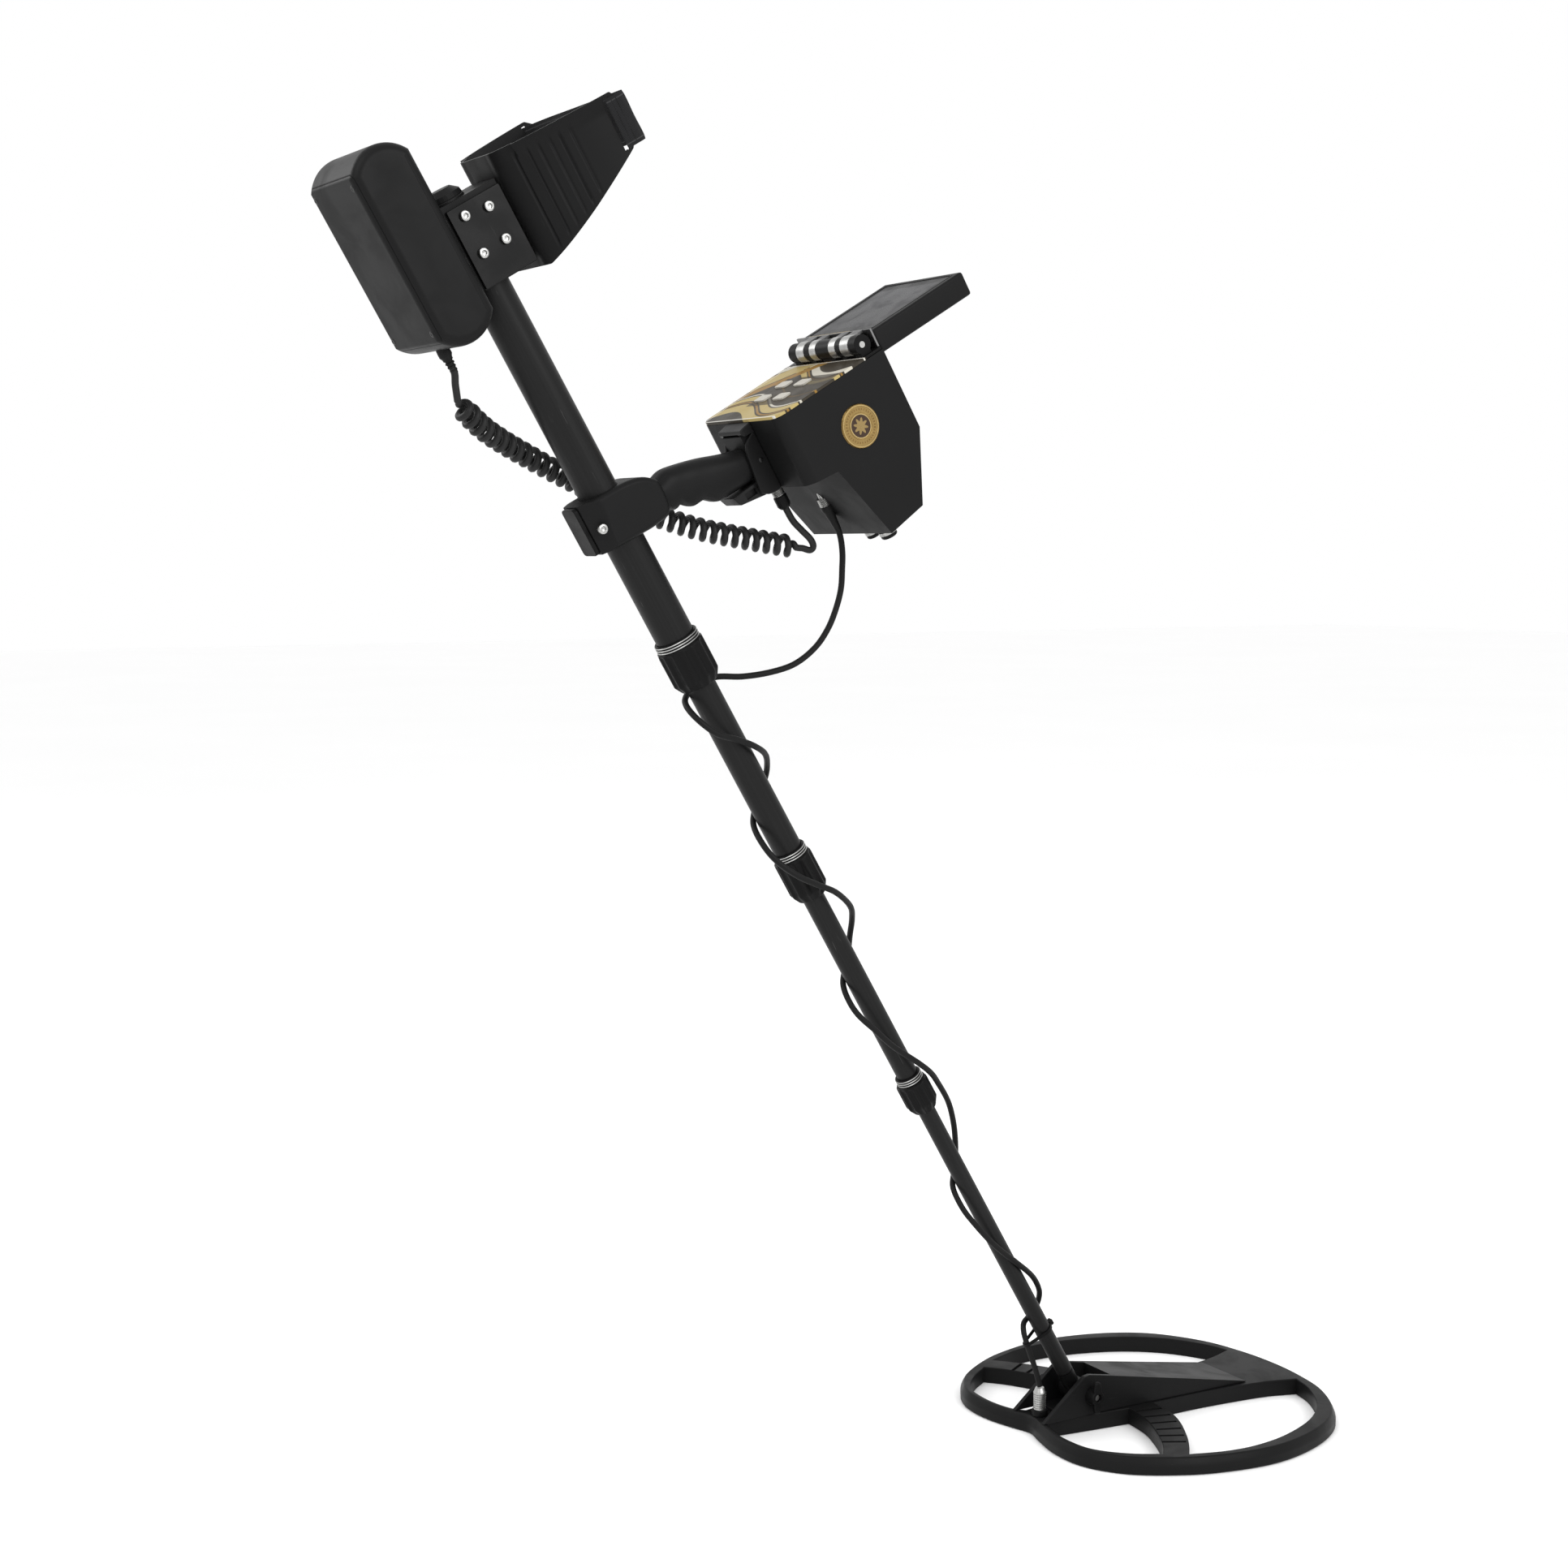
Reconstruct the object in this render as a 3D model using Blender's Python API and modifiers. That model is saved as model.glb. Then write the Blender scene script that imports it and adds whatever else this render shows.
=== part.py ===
"""A long-range metal detector: a telescopic shaft with an arm cuff, battery box, pistol grip and
control box with a folding display at its upper end, and a heart-shaped search coil at its foot.

Two frames are used. The shaft frame runs u along the shaft from its upper end, v square to it,
up and forward, and y sideways. The coil frame is level, with x forward from the coil's heel.
The row's origin is the middle of the grip. Outlines are listed in millimetres and scaled by MM."""

import math

import bmesh
import bpy
from mathutils import Matrix, Vector
from mathutils.geometry import interpolate_bezier

MM = 0.001
GAP = 0.0003  # between pieces that touch
MERGE = 0.00005

# ---- the shaft ----
SHAFT_PITCH = math.radians(59.27)  # below the horizontal
GRIP_POINT = (0.342, 0.095)  # u and v of the middle of the grip
TUBE_RADII = (0.0190, 0.0144, 0.0110, 0.0090)
TUBE_BORES = (0.0170, 0.0128, 0.0097, 0.0076)
TUBE_TOPS = (0.006, 0.400, 0.640, 0.905)
TUBE_ENDS = (0.480, 0.724, 0.995, 1.372)
GUIDE_RING = 0.012  # length of the ring that guides an inner tube
# u of the top and bottom of each twist collar, and its radius
COLLARS = ((0.452, 0.504, 0.0237), (0.694, 0.749, 0.0195), (0.971, 1.015, 0.0168))

# ---- the upper end ----
BRACKET_U = (0.008, 0.086)
BRACKET_V = (-0.0265, 0.0415)
BRACKET_HALF = 0.025
PLATE_U = (0.013, 0.087)
PLATE_V = (-0.016, 0.0415)
PLATE_THICK = 0.0032
BRACKET_BOLTS = ((0.023, -0.002), (0.026, 0.0225), (0.057, 0.0225), (0.058, -0.003))
BATTERY_U = (-0.050, 0.100)
BATTERY_V = (-0.088, -0.0270)
BATTERY_HALF = 0.053
BATTERY_BULGE = 0.0165
LID_THICK = 0.003
CUFF_U = (-0.012, 0.095)
CUFF_WALL = 0.003
STRAP_U = (-0.008, 0.038)

# ---- grip and control box ----
CLAMP_HALF = 0.024
GRIP_HALF = 0.0165
CLAMP_BOLT = (0.322, -0.0245)
BOX_HALF = 0.070
BOX_WALL = 0.003
PANEL_U = 0.313
PANEL_THICK = 0.0027
PANEL_BACK_V = 0.2762
HINGE_AXIS = (0.303, 0.283)
KNUCKLE_R = 0.0096
DISPLAY_HALF = 0.066
DISPLAY_U = (0.2965, 0.3205)
DISPLAY_V = (0.2985, 0.4175)
KEY_CENTRES = ((-0.020, 0.205), (0.014, 0.205), (-0.020, 0.232), (0.014, 0.232))  # y and v
KEY_SIZE = (0.020, 0.013)

# ---- the coil ----
COIL_HEEL_X = 0.3835  # of the row frame
COIL_FLOOR_Z = -0.9950
COIL_THICK = 0.018
PIVOT = (0.0770, 0.0385)  # x and z in the coil frame
COIL_PLUG_X = 0.0285
EAR_IN = 0.0225
EAR_OUT = 0.0275
CABLE_R = 0.003
CORD_R = 0.00275
CURL_R = 0.0115


def scene_reset():
    for old in list(bpy.data.objects):
        bpy.data.objects.remove(old, do_unlink=True)


def new_collection(name):
    made = bpy.data.collections.new(name)
    bpy.context.scene.collection.children.link(made)
    return made


def new_material(name, colour, roughness, metallic=0.0, alpha=1.0):
    made = bpy.data.materials.new(name)
    made.use_nodes = True
    shader = made.node_tree.nodes["Principled BSDF"]
    shader.inputs["Base Color"].default_value = (*colour, 1.0)
    shader.inputs["Roughness"].default_value = roughness
    shader.inputs["Metallic"].default_value = metallic
    shader.inputs["Alpha"].default_value = alpha
    return made


scene_reset()
PARTS = new_collection("metal_detector")
CUTTERS = new_collection("cutters")

PAINTED = new_material("painted_tube", (0.020, 0.020, 0.021), 0.40, 0.3)
PLASTIC = new_material("satin_plastic", (0.014, 0.014, 0.015), 0.45)
RUBBER = new_material("rubber", (0.010, 0.010, 0.010), 0.75)
STEEL = new_material("steel", (0.62, 0.62, 0.62), 0.25, 1.0)
GOLD = new_material("gold_foil", (0.75, 0.55, 0.22), 0.30, 1.0)
GLASS = new_material("display_glass", (0.05, 0.05, 0.055), 0.12)
WEBBING = new_material("webbing", (0.012, 0.012, 0.013), 0.85)
BOARD = new_material("circuit_board", (0.02, 0.12, 0.05), 0.5)
CELLS = new_material("cell_wrap", (0.10, 0.14, 0.30), 0.45)
WHITE_KEY = new_material("key_white", (0.80, 0.79, 0.76), 0.4)


def shaft_point(u, y, v):
    """A point of the shaft frame in the row frame."""
    u, v = u - GRIP_POINT[0], v - GRIP_POINT[1]
    cos, sin = math.cos(SHAFT_PITCH), math.sin(SHAFT_PITCH)
    return Vector((u * cos + v * sin, y, v * cos - u * sin))


def shaft_u(point):
    """How far down the shaft a point of the row frame lies."""
    return GRIP_POINT[0] + point.x * math.cos(SHAFT_PITCH) - point.z * math.sin(SHAFT_PITCH)


def frame_empty(name, location, pitch):
    made = bpy.data.objects.new(name, None)
    made.empty_display_size = 0.05
    made.location = location
    made.rotation_euler = (0, pitch, 0)
    PARTS.objects.link(made)
    return made


SHAFT = frame_empty("shaft_frame", shaft_point(0, 0, 0), SHAFT_PITCH)
COIL = frame_empty("coil_frame", (COIL_HEEL_X, 0, COIL_FLOOR_Z), 0.0)


# ---------- making shapes ----------
def add_piece(name, mesh, material, parent, collection=None):
    """A mesh as a named object in one of the two frames. With no material it is a cutter."""
    made = bpy.data.objects.new(name, mesh)
    (collection or PARTS).objects.link(made)
    made.parent = parent
    if material is None:
        made.hide_render = True
        made.display_type = "WIRE"
    else:
        mesh.materials.append(material)
    return made


def mesh_from(work, name):
    mesh = bpy.data.meshes.new(name)
    work.to_mesh(mesh)
    work.free()
    return mesh


def block(name, material, parent, low, high, collection=None):
    """A box between two corners."""
    low, high = Vector(low), Vector(high)
    work = bmesh.new()
    size = Matrix.Diagonal((*(high - low), 1.0))
    bmesh.ops.create_cube(work, size=1.0, matrix=Matrix.Translation((low + high) / 2) @ size)
    return add_piece(name, mesh_from(work, name), material, parent, collection)


AXES = {
    "u": Matrix.Rotation(math.pi / 2, 4, "Y"),
    "y": Matrix.Rotation(-math.pi / 2, 4, "X"),
    "v": Matrix.Identity(4),
}


def rod(name, material, parent, start, axis, length, radius, sides=24, top=None, collection=None):
    """A cylinder or cone from a start point along u (x), y or v (z)."""
    work = bmesh.new()
    turn = Matrix.Translation(start) @ AXES[axis] @ Matrix.Translation((0, 0, length / 2))
    bmesh.ops.create_cone(
        work,
        cap_ends=True,
        segments=sides,
        radius1=radius,
        radius2=radius if top is None else top,
        depth=length,
        matrix=turn,
    )
    made = add_piece(name, mesh_from(work, name), material, parent, collection)
    smooth_sides(made)
    return made


def smooth_sides(piece):
    piece.data.shade_smooth()
    piece.data.set_sharp_from_angle(angle=math.radians(35))


def turned(name, material, parent, profile, axis="u", centre=(0, 0, 0), sides=32, ring=True):
    """A turned piece. profile lists (distance along the axis, radius); ring closes it to a ring."""
    area = sum(
        a[1] * b[0] - b[1] * a[0] for a, b in zip(profile, profile[1:] + profile[:1], strict=True)
    )
    if area > 0:
        profile = profile[::-1]
    mesh = bpy.data.meshes.new(name)
    count = len(profile)
    edges = [(n, n + 1) for n in range(count - 1)] + ([(count - 1, 0)] if ring else [])
    mesh.from_pydata([(r, 0, z) for z, r in profile], edges, [])
    made = add_piece(name, mesh, material, parent)
    made.matrix_local = Matrix.Translation(centre) @ AXES[axis]
    screw = made.modifiers.new("turn", "SCREW")
    screw.axis = "Z"
    screw.steps = screw.render_steps = sides
    screw.use_merge_vertices = True
    screw.merge_threshold = MERGE
    screw.use_smooth_shade = True
    return made


def outline_mesh(name, loops, half, smooth):
    """A flat outline, with any holes in it, as a slab of that half thickness about its plane."""
    curve = bpy.data.curves.new(name, "CURVE")
    curve.dimensions = "2D"
    curve.fill_mode = "BOTH"
    curve.extrude = half
    curve.resolution_u = smooth or 1
    for points in loops:
        spline = curve.splines.new("BEZIER")
        spline.bezier_points.add(len(points) - 1)
        spline.use_cyclic_u = True
        for corner, point in zip(spline.bezier_points, points, strict=True):
            corner.co = (point[0] * MM, point[1] * MM, 0)
            sharp = not smooth or len(point) > 2
            corner.handle_left_type = corner.handle_right_type = "VECTOR" if sharp else "AUTO"
    drawn = bpy.data.objects.new(name, curve)
    PARTS.objects.link(drawn)
    shape = drawn.evaluated_get(bpy.context.evaluated_depsgraph_get())
    mesh = bpy.data.meshes.new_from_object(shape)
    bpy.data.objects.remove(drawn, do_unlink=True)
    work = bmesh.new()
    work.from_mesh(mesh)
    bmesh.ops.remove_doubles(work, verts=work.verts, dist=MERGE)
    work.to_mesh(mesh)
    work.free()
    return mesh


PLANES = {
    "side": Matrix.Rotation(math.pi / 2, 4, "X"),  # (u, v), as thick as y
    "across": Matrix(((0, 0, 1, 0), (1, 0, 0, 0), (0, 1, 0, 0), (0, 0, 0, 1))),  # (y, v), along u
    "level": Matrix.Identity(4),  # (x, y), as thick as z
}


def slab(name, material, parent, loops, low, high, plane="side", smooth=0, collection=None):
    """An outline in a plane, made solid from low to high across it.
    A third entry in a point keeps a corner of a smooth outline sharp."""
    if not isinstance(loops[0][0], tuple):
        loops = [loops]
    mesh = outline_mesh(name, loops, (high - low) / 2, smooth)
    middle = (low + high) / 2
    shift = {"side": (0, middle, 0), "across": (middle, 0, 0), "level": (0, 0, middle)}[plane]
    mesh.transform(Matrix.Translation(shift) @ PLANES[plane])
    return add_piece(name, mesh, material, parent, collection)


def boolean(piece, other, operation):
    other.hide_render = True
    other.display_type = "WIRE"
    for home in list(other.users_collection):
        home.objects.unlink(other)
    CUTTERS.objects.link(other)
    change = piece.modifiers.new(other.name, "BOOLEAN")
    change.operation = operation
    change.object = other
    change.solver = "EXACT"
    return piece


def cut(piece, *cutters):
    for cutter in cutters:
        boolean(piece, cutter, "DIFFERENCE")
    return piece


def join(piece, *others):
    for other in others:
        boolean(piece, other, "UNION")
    return piece


def rounded(piece, width, segments=2, angle=40):
    bevel = piece.modifiers.new("round", "BEVEL")
    bevel.width = width
    bevel.segments = segments
    bevel.limit_method = "ANGLE"
    bevel.angle_limit = math.radians(angle)
    return piece


def rounded_box(half_a, half_b, radius, centre=(0.0, 0.0), steps=4):
    """The outline of a rounded rectangle, in millimetres, from sizes in metres."""
    points = []
    for quarter in range(4):
        side_a = 1 if quarter in (0, 3) else -1
        side_b = 1 if quarter in (0, 1) else -1
        for step in range(steps + 1):
            turn = math.pi / 2 * (quarter + step / steps)
            a = centre[0] + side_a * (half_a - radius) + radius * math.cos(turn)
            b = centre[1] + side_b * (half_b - radius) + radius * math.sin(turn)
            points.append((a / MM, b / MM))
    return points


def smooth_route(points, count):
    """Even points on a smooth curve through hand-placed ones."""
    spots = [Vector(p) for p in points]
    ends = [2 * spots[0] - spots[1], *spots, 2 * spots[-1] - spots[-2]]
    fine = []
    for before, a, b, after in zip(ends, ends[1:], ends[2:], ends[3:]):
        fine += interpolate_bezier(a, a + (b - before) / 6, b - (after - a) / 6, b, 12)[:-1]
    fine.append(spots[-1])
    far = [0.0]
    for a, b in zip(fine, fine[1:]):
        far.append(far[-1] + (b - a).length)
    even, at = [], 0
    for n in range(count):
        want = far[-1] * n / (count - 1)
        while at < len(far) - 2 and far[at + 1] < want:
            at += 1
        share = (want - far[at]) / (far[at + 1] - far[at])
        even.append(fine[at].lerp(fine[at + 1], min(share, 1.0)))
    return even


def cord(name, points, radius, count, resolution=2):
    """A tube along a smooth route in the row frame."""
    return tube(name, smooth_route(points, count), radius, resolution)


def tube(name, route, radius, resolution=2, material=RUBBER):
    curve = bpy.data.curves.new(name, "CURVE")
    curve.dimensions = "3D"
    curve.bevel_depth = radius
    curve.bevel_resolution = resolution
    curve.use_fill_caps = True
    spline = curve.splines.new("POLY")
    spline.points.add(len(route) - 1)
    for spot, point in zip(spline.points, route, strict=True):
        spot.co = (*point, 1.0)
    curve.materials.append(material)
    made = bpy.data.objects.new(name, curve)
    PARTS.objects.link(made)
    return made


# ---------- the shaft ----------
def shaft_tube(name, number):
    top, end = TUBE_TOPS[number], TUBE_ENDS[number]
    radius, bore = TUBE_RADII[number], TUBE_BORES[number]
    profile = [(top, bore), (top, radius), (end, radius), (end, bore)]
    if number:
        guide = TUBE_BORES[number - 1] - GAP
        profile[1:2] = [(top, guide), (top + GUIDE_RING, guide), (top + GUIDE_RING, radius)]
    return turned(name, PAINTED, SHAFT, profile)


def twist_collar(name, number):
    """A knurled collar round a tube's end and the next tube, chamfered below."""
    top, bottom, radius = COLLARS[number]
    upper = TUBE_RADII[number] + 0.0004
    lower = TUBE_RADII[number + 1] + 0.0004
    step = TUBE_ENDS[number] + 0.001
    profile = [
        (top, upper),
        (top, upper + 0.0018),
        (top + 0.008, upper + 0.0018),
        (top + 0.009, radius),
        (bottom - 0.008, radius),
        (bottom, radius - 0.0045),
        (bottom, lower),
        (step, lower),
        (step, upper),
    ]
    return turned(name, PLASTIC, SHAFT, profile)


def shaft():
    upper = shaft_tube("upper_tube", 0)
    for u, v in (BRACKET_BOLTS[0], BRACKET_BOLTS[3]):
        hole = rod("tube_bolt_hole", None, SHAFT, (u, -0.05, v), "y", 0.1, 0.0030, 16)
        cut(upper, hole)
    for number in (1, 2, 3):
        shaft_tube(("", "second_tube", "third_tube", "lower_tube")[number], number)
        twist_collar(f"twist_collar_{number}", number - 1)
    dome = [(-0.004, 0), (-0.004, 0.011), (0.001, 0.0175), (0.0055, 0.0185)]
    plug = dome + [(0.0055, 0.0165), (0.0180, 0.0165), (0.0180, 0)]
    turned("upper_tube_plug", PLASTIC, SHAFT, plug, ring=False)


# ---------- bracket, battery box and arm cuff ----------
def bracket():
    low = (BRACKET_U[0], -BRACKET_HALF, BRACKET_V[0])
    high = (BRACKET_U[1], BRACKET_HALF, BRACKET_V[1])
    body = block("bracket_block", PLASTIC, SHAFT, low, high)
    plates = []
    for side, name in ((-1, "bracket_plate_right"), (1, "bracket_plate_left")):
        near = BRACKET_HALF + GAP
        faces = sorted((side * near, side * (near + PLATE_THICK)))
        corners = [(a / MM, b / MM) for a in PLATE_U for b in PLATE_V]
        ring = [corners[0], corners[1], corners[3], corners[2]]
        plate = slab(name, PAINTED, SHAFT, ring, *faces)
        plates.append(plate)
    cut(body, rod("bracket_bore", None, SHAFT, (-0.02, 0, 0), "u", 0.14, TUBE_RADII[0] + 0.0004, 32))
    outer = BRACKET_HALF + GAP + PLATE_THICK
    for number, (u, v) in enumerate(BRACKET_BOLTS, 1):
        hole = rod(f"bracket_hole_{number}", None, SHAFT, (u, -0.05, v), "y", 0.1, 0.0030, 16)
        for piece in (body, *plates):
            cut(piece, hole)
        socket = [
            (-outer - 0.0015, 0),
            (-outer - 0.0015, 0.0020),
            (-outer - 0.0035, 0.0020),
            (-outer - 0.0035, 0.0042),
            (-outer - 0.0028, 0.0048),
            (-outer - GAP, 0.0048),
            (-outer - GAP, 0.0026),
            (outer, 0.0026),
            (outer, 0),
        ]
        turned(f"bracket_bolt_{number}", STEEL, SHAFT, socket, "y", (u, 0, v), 12, ring=False)


def arched_outline(inset=0.0, v_low=None, v_high=None):
    """The battery box from the side: two straight sides and bulging ends."""
    low = (BATTERY_V[0] if v_low is None else v_low) + inset
    high = (BATTERY_V[1] if v_high is None else v_high) - inset
    chord, rise = (high - low) / 2, BATTERY_BULGE
    radius = (chord**2 + rise**2) / (2 * rise)
    sweep = math.asin(chord / radius)
    middle = (low + high) / 2
    points = []
    for end, sign in ((BATTERY_U[1] - inset, 1), (BATTERY_U[0] + inset, -1)):
        for step in range(9):
            turn = sweep * (step / 4 - 1) * sign
            u = end + sign * (rise - radius + radius * math.cos(turn))
            points.append((u / MM, (middle + radius * math.sin(turn)) / MM))
    return points


def battery_box():
    half = BATTERY_HALF
    lid_v = BATTERY_V[0] + LID_THICK
    case = slab("battery_case", PLASTIC, SHAFT, arched_outline(), -half, half)
    hollow = arched_outline(0.003, lid_v)
    inside = slab("battery_hollow", None, SHAFT, hollow, -half + 0.003, half - 0.003)
    mouth = block(
        "battery_mouth",
        None,
        SHAFT,
        (BATTERY_U[0] - 0.03, -half - 0.01, BATTERY_V[0] - 0.02),
        (BATTERY_U[1] + 0.03, half + 0.01, lid_v),
    )
    opening = block(
        "battery_opening",
        None,
        SHAFT,
        (BATTERY_U[0] + 0.006, -half + 0.003, BATTERY_V[0] - 0.02),
        (BATTERY_U[1] - 0.006, half - 0.003, lid_v + 0.010),
    )
    gland_hole = rod("gland_hole", None, SHAFT, (0.09, 0, -0.068), "u", 0.05, 0.0044, 16)
    cut(case, inside, mouth, opening, gland_hole)
    low = (BATTERY_U[0], -half, BATTERY_V[0])
    high = (BATTERY_U[1], half, lid_v - GAP)
    lid = rounded(block("battery_lid", PLASTIC, SHAFT, low, high), 0.001, 1)
    corners = [(u, y) for u in (-0.043, 0.093) for y in (-0.0465, 0.0465)]
    for number, (u, y) in enumerate(corners, 1):
        spot = (u, y, BATTERY_V[0] - 0.001)
        seat = rod(f"lid_hole_{number}", None, SHAFT, spot, "v", 0.0022, 0.0034, 12)
        cut(lid, seat)
        spot = (u, y, BATTERY_V[0] - 0.0002)
        rod(f"battery_lid_screw_{number}", STEEL, SHAFT, spot, "v", 0.0011, 0.0030, 12)
    cells = None
    for number in range(4):
        start = (-0.036, (number - 1.5) * 0.0178, -0.060)
        cell = rod(f"cell_{number}", CELLS, SHAFT, start, "u", 0.110, 0.0092, 16)
        cells = join(cells, cell) if cells else cell
    cells.name = "battery_cells"
    profile = [
        (0.1168, 0),
        (0.1168, 0.0062),
        (0.1210, 0.0062),
        (0.1225, 0.0052),
        (0.1300, 0.0042),
        (0.1300, 0),
    ]
    gland = turned("battery_gland", RUBBER, SHAFT, profile, "u", (0, 0, -0.068), 12, ring=False)
    shank = rod("gland_shank", RUBBER, SHAFT, (0.108, 0, -0.068), "u", 0.0100, 0.0040, 12)
    join(gland, shank)


def cuff_section(offset, top):
    """Half of the cuff's section: floor edge, flaring wall and near-upright tip, as (y, v)."""
    wall = [(33, 45), (50, 62), (64, 86), (74, 114), (80, 138), (82, top)]
    return [(y - offset, v) for y, v in wall]


def arm_cuff():
    wall = CUFF_WALL / MM
    outer = cuff_section(0, 160)
    inner = [(y - wall, v + wall * 0.3) for y, v in outer[1:-1]]
    inner = [(outer[0][0] - 1.0, outer[0][1] + wall)] + inner + [(outer[-1][0] - wall, outer[-1][1])]
    half = outer + inner[::-1]
    ring = [(-y, v) for y, v in outer[::-1]] + half + [(-y, v) for y, v in inner]
    cuff = slab("arm_cuff", PLASTIC, SHAFT, ring, *CUFF_U, plane="across")
    # The side view trims the wings: a level rear, a rounded tip, and a front that slopes back.
    trim = [(-12, 30), (-12, 148), (-6, 154), (32, 154), (40, 148), (67, 100), (95, 48), (95, 30)]
    boolean(cuff, slab("cuff_side", None, SHAFT, trim, -0.1, 0.1), "INTERSECT")
    for side in (-1, 1):
        y_low, y_high = sorted((side * 0.07, side * 0.09))
        slot = block(
            "strap_slot",
            None,
            SHAFT,
            (STRAP_U[0] - 0.001, y_low, 0.1405),
            (STRAP_U[1] + 0.001, y_high, 0.1460),
        )
        cut(cuff, slot)
    band = [(-85.2, 142), (-85.2, 158), (-82, 163), (-76, 163.5), (-40, 157), (0, 154)]
    band += [(40, 152.5), (66, 149), (77.5, 144.4), (85, 142.2)]
    under = [(y, v - 1.8) for y, v in band[3:]]
    under = under[::-1] + [(-80.5, 160.8), (-83.4, 157.2), (-83.4, 142)]
    slab("cuff_strap", WEBBING, SHAFT, band + under, *STRAP_U, plane="across")


# ---------- grip ----------
CLAMP_OUTLINE = [(295, -32), (297, 10), (301, 32), (309, 45), (318, 50), (344, 46)]
CLAMP_OUTLINE += [(348, 28), (347.5, 10), (344.5, -32)]
GRIP_OUTLINE = [(314, 36, "sharp"), (315, 51), (312, 66), (315, 82), (322, 106), (331, 130)]
GRIP_OUTLINE += [(336, 146.8, "sharp"), (366, 146.8, "sharp"), (368, 139), (368, 112), (366, 101)]
GRIP_OUTLINE += [(358, 90), (357, 77), (349, 67), (350, 58), (343, 46, "sharp"), (344, 36, "sharp")]


def grip():
    bore = rod("clamp_bore", None, SHAFT, (0.28, 0, 0), "u", 0.09, TUBE_RADII[0] + 0.0004, 32)
    u, v = CLAMP_BOLT
    hole = rod("clamp_hole", None, SHAFT, (u, -0.05, v), "y", 0.1, 0.0029, 16)
    for side, name in ((-1, "grip_half_right"), (1, "grip_half_left")):
        low, high = sorted((side * GAP / 2, side * CLAMP_HALF))
        half = slab(name, PLASTIC, SHAFT, CLAMP_OUTLINE, low, high)
        low, high = sorted((side * GAP / 2, side * GRIP_HALF))
        handle = slab(name + "_handle", PLASTIC, SHAFT, GRIP_OUTLINE, low, high, smooth=3)
        join(half, handle)
        bevel = [(side * 30, -18), (side * 24.5, -18), (side * 13, -33), (side * 30, -33)]
        corner = slab(name + "_corner", None, SHAFT, bevel[::side], 0.28, 0.36, "across")
        cut(half, bore, hole, corner)
    ring = rounded_box(0.0240, 0.0128, 0.004, (0.3197, 0.0), 3)
    cap = slab("clamp_rear_cap", PLASTIC, SHAFT, ring, -0.0368, -0.0323, "level")
    rounded(cap, 0.001, 1, 60)
    head = CLAMP_HALF + GAP
    bolt = [
        (-head - 0.003, 0),
        (-head - 0.003, 0.0040),
        (-head - 0.002, 0.0048),
        (-head, 0.0048),
        (-head, 0.0025),
        (head - 0.001, 0.0025),
        (head - 0.001, 0),
    ]
    turned("clamp_bolt", STEEL, SHAFT, bolt, "y", (u, 0, v), 12, ring=False)


# ---------- control box ----------
BOX_SIDE = [(315.9, 162), (386, 162), (390, 196), (470, 219), (465, 263), (399, 297.5), (315.9, 297.5)]
INNER_SIDE = [(300, 165), (383, 165), (387, 199), (465, 222), (462, 260), (397, 294.5), (300, 294.5)]


def control_box():
    half = BOX_HALF
    housing = slab("control_housing", PLASTIC, SHAFT, BOX_SIDE, -half, half)
    ring = rounded_box(half, 0.080, 0.012, (0.0, 0.242), 3)
    boolean(housing, slab("box_plan", None, SHAFT, ring, 0.30, 0.48, "across"), "INTERSECT")
    wall = BOX_WALL
    cut(housing, slab("box_hollow", None, SHAFT, INNER_SIDE, -half + wall, half - wall))
    seat = [(412, 204), (452, 215.5), (452, 222), (412, 222)]
    join(housing, slab("connector_seat", PLASTIC, SHAFT, seat, -0.009, 0.009))
    pocket = rod("connector_pocket", None, SHAFT, (0.4222, 0, COIL_EXIT_V), "u", 0.05, 0.0066, 16)
    passage = rod("connector_passage", None, SHAFT, (0.4050, 0, COIL_EXIT_V), "u", 0.03, 0.0040, 16)
    inlet = rod("power_passage", None, SHAFT, (0.3600, 0, POWER_EXIT_V), "u", 0.04, 0.0040, 16)
    cut(housing, pocket, passage, inlet)
    for name, y, v, radius in SOCKETS:
        cut(housing, rod(name + "_hole", None, SHAFT, (0.45, y, v), "u", 0.05, radius * 0.62, 16))
    # The upper face is two plates: the keypad, and the hinge's leaf behind it.
    plan = rounded_box(half, 0.080, 0.012, (0.0, 0.242), 3)
    plan = [(y, min(v, PANEL_BACK_V / MM)) for y, v in plan if v < 240]
    back = PANEL_BACK_V / MM
    plan = [(half / MM, back), (-half / MM, back)] + [p for p in plan]
    top = slab("keypad_panel", PLASTIC, SHAFT, plan, PANEL_U, PANEL_U + PANEL_THICK - GAP / 3, "across")
    for number, (y, v) in enumerate(KEY_CENTRES, 1):
        centre = (y, v)
        hole = rounded_box(KEY_SIZE[0] / 2, KEY_SIZE[1] / 2, 0.003, centre, 2)
        cut(top, slab(f"key_hole_{number}", None, SHAFT, hole, 0.30, 0.32, "across"))
        less = 0.0004
        size = (KEY_SIZE[0] / 2 - less, KEY_SIZE[1] / 2 - less)
        cap = rounded_box(*size, 0.0026, centre, 2)
        slab(f"key_{number}", WHITE_KEY, SHAFT, cap, PANEL_U - 0.0014, PANEL_U + 0.0018, "across")
    board = block("circuit_board", BOARD, SHAFT, (0.3200, -0.060, 0.172), (0.3216, 0.060, 0.286))
    chips = [((0.3210, -0.04, 0.20), (0.3240, -0.012, 0.228)), ((0.3210, 0.01, 0.235), (0.3250, 0.045, 0.262))]
    for number, (low, high) in enumerate(chips):
        join(board, block(f"chip_{number}", BOARD, SHAFT, low, high))


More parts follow.
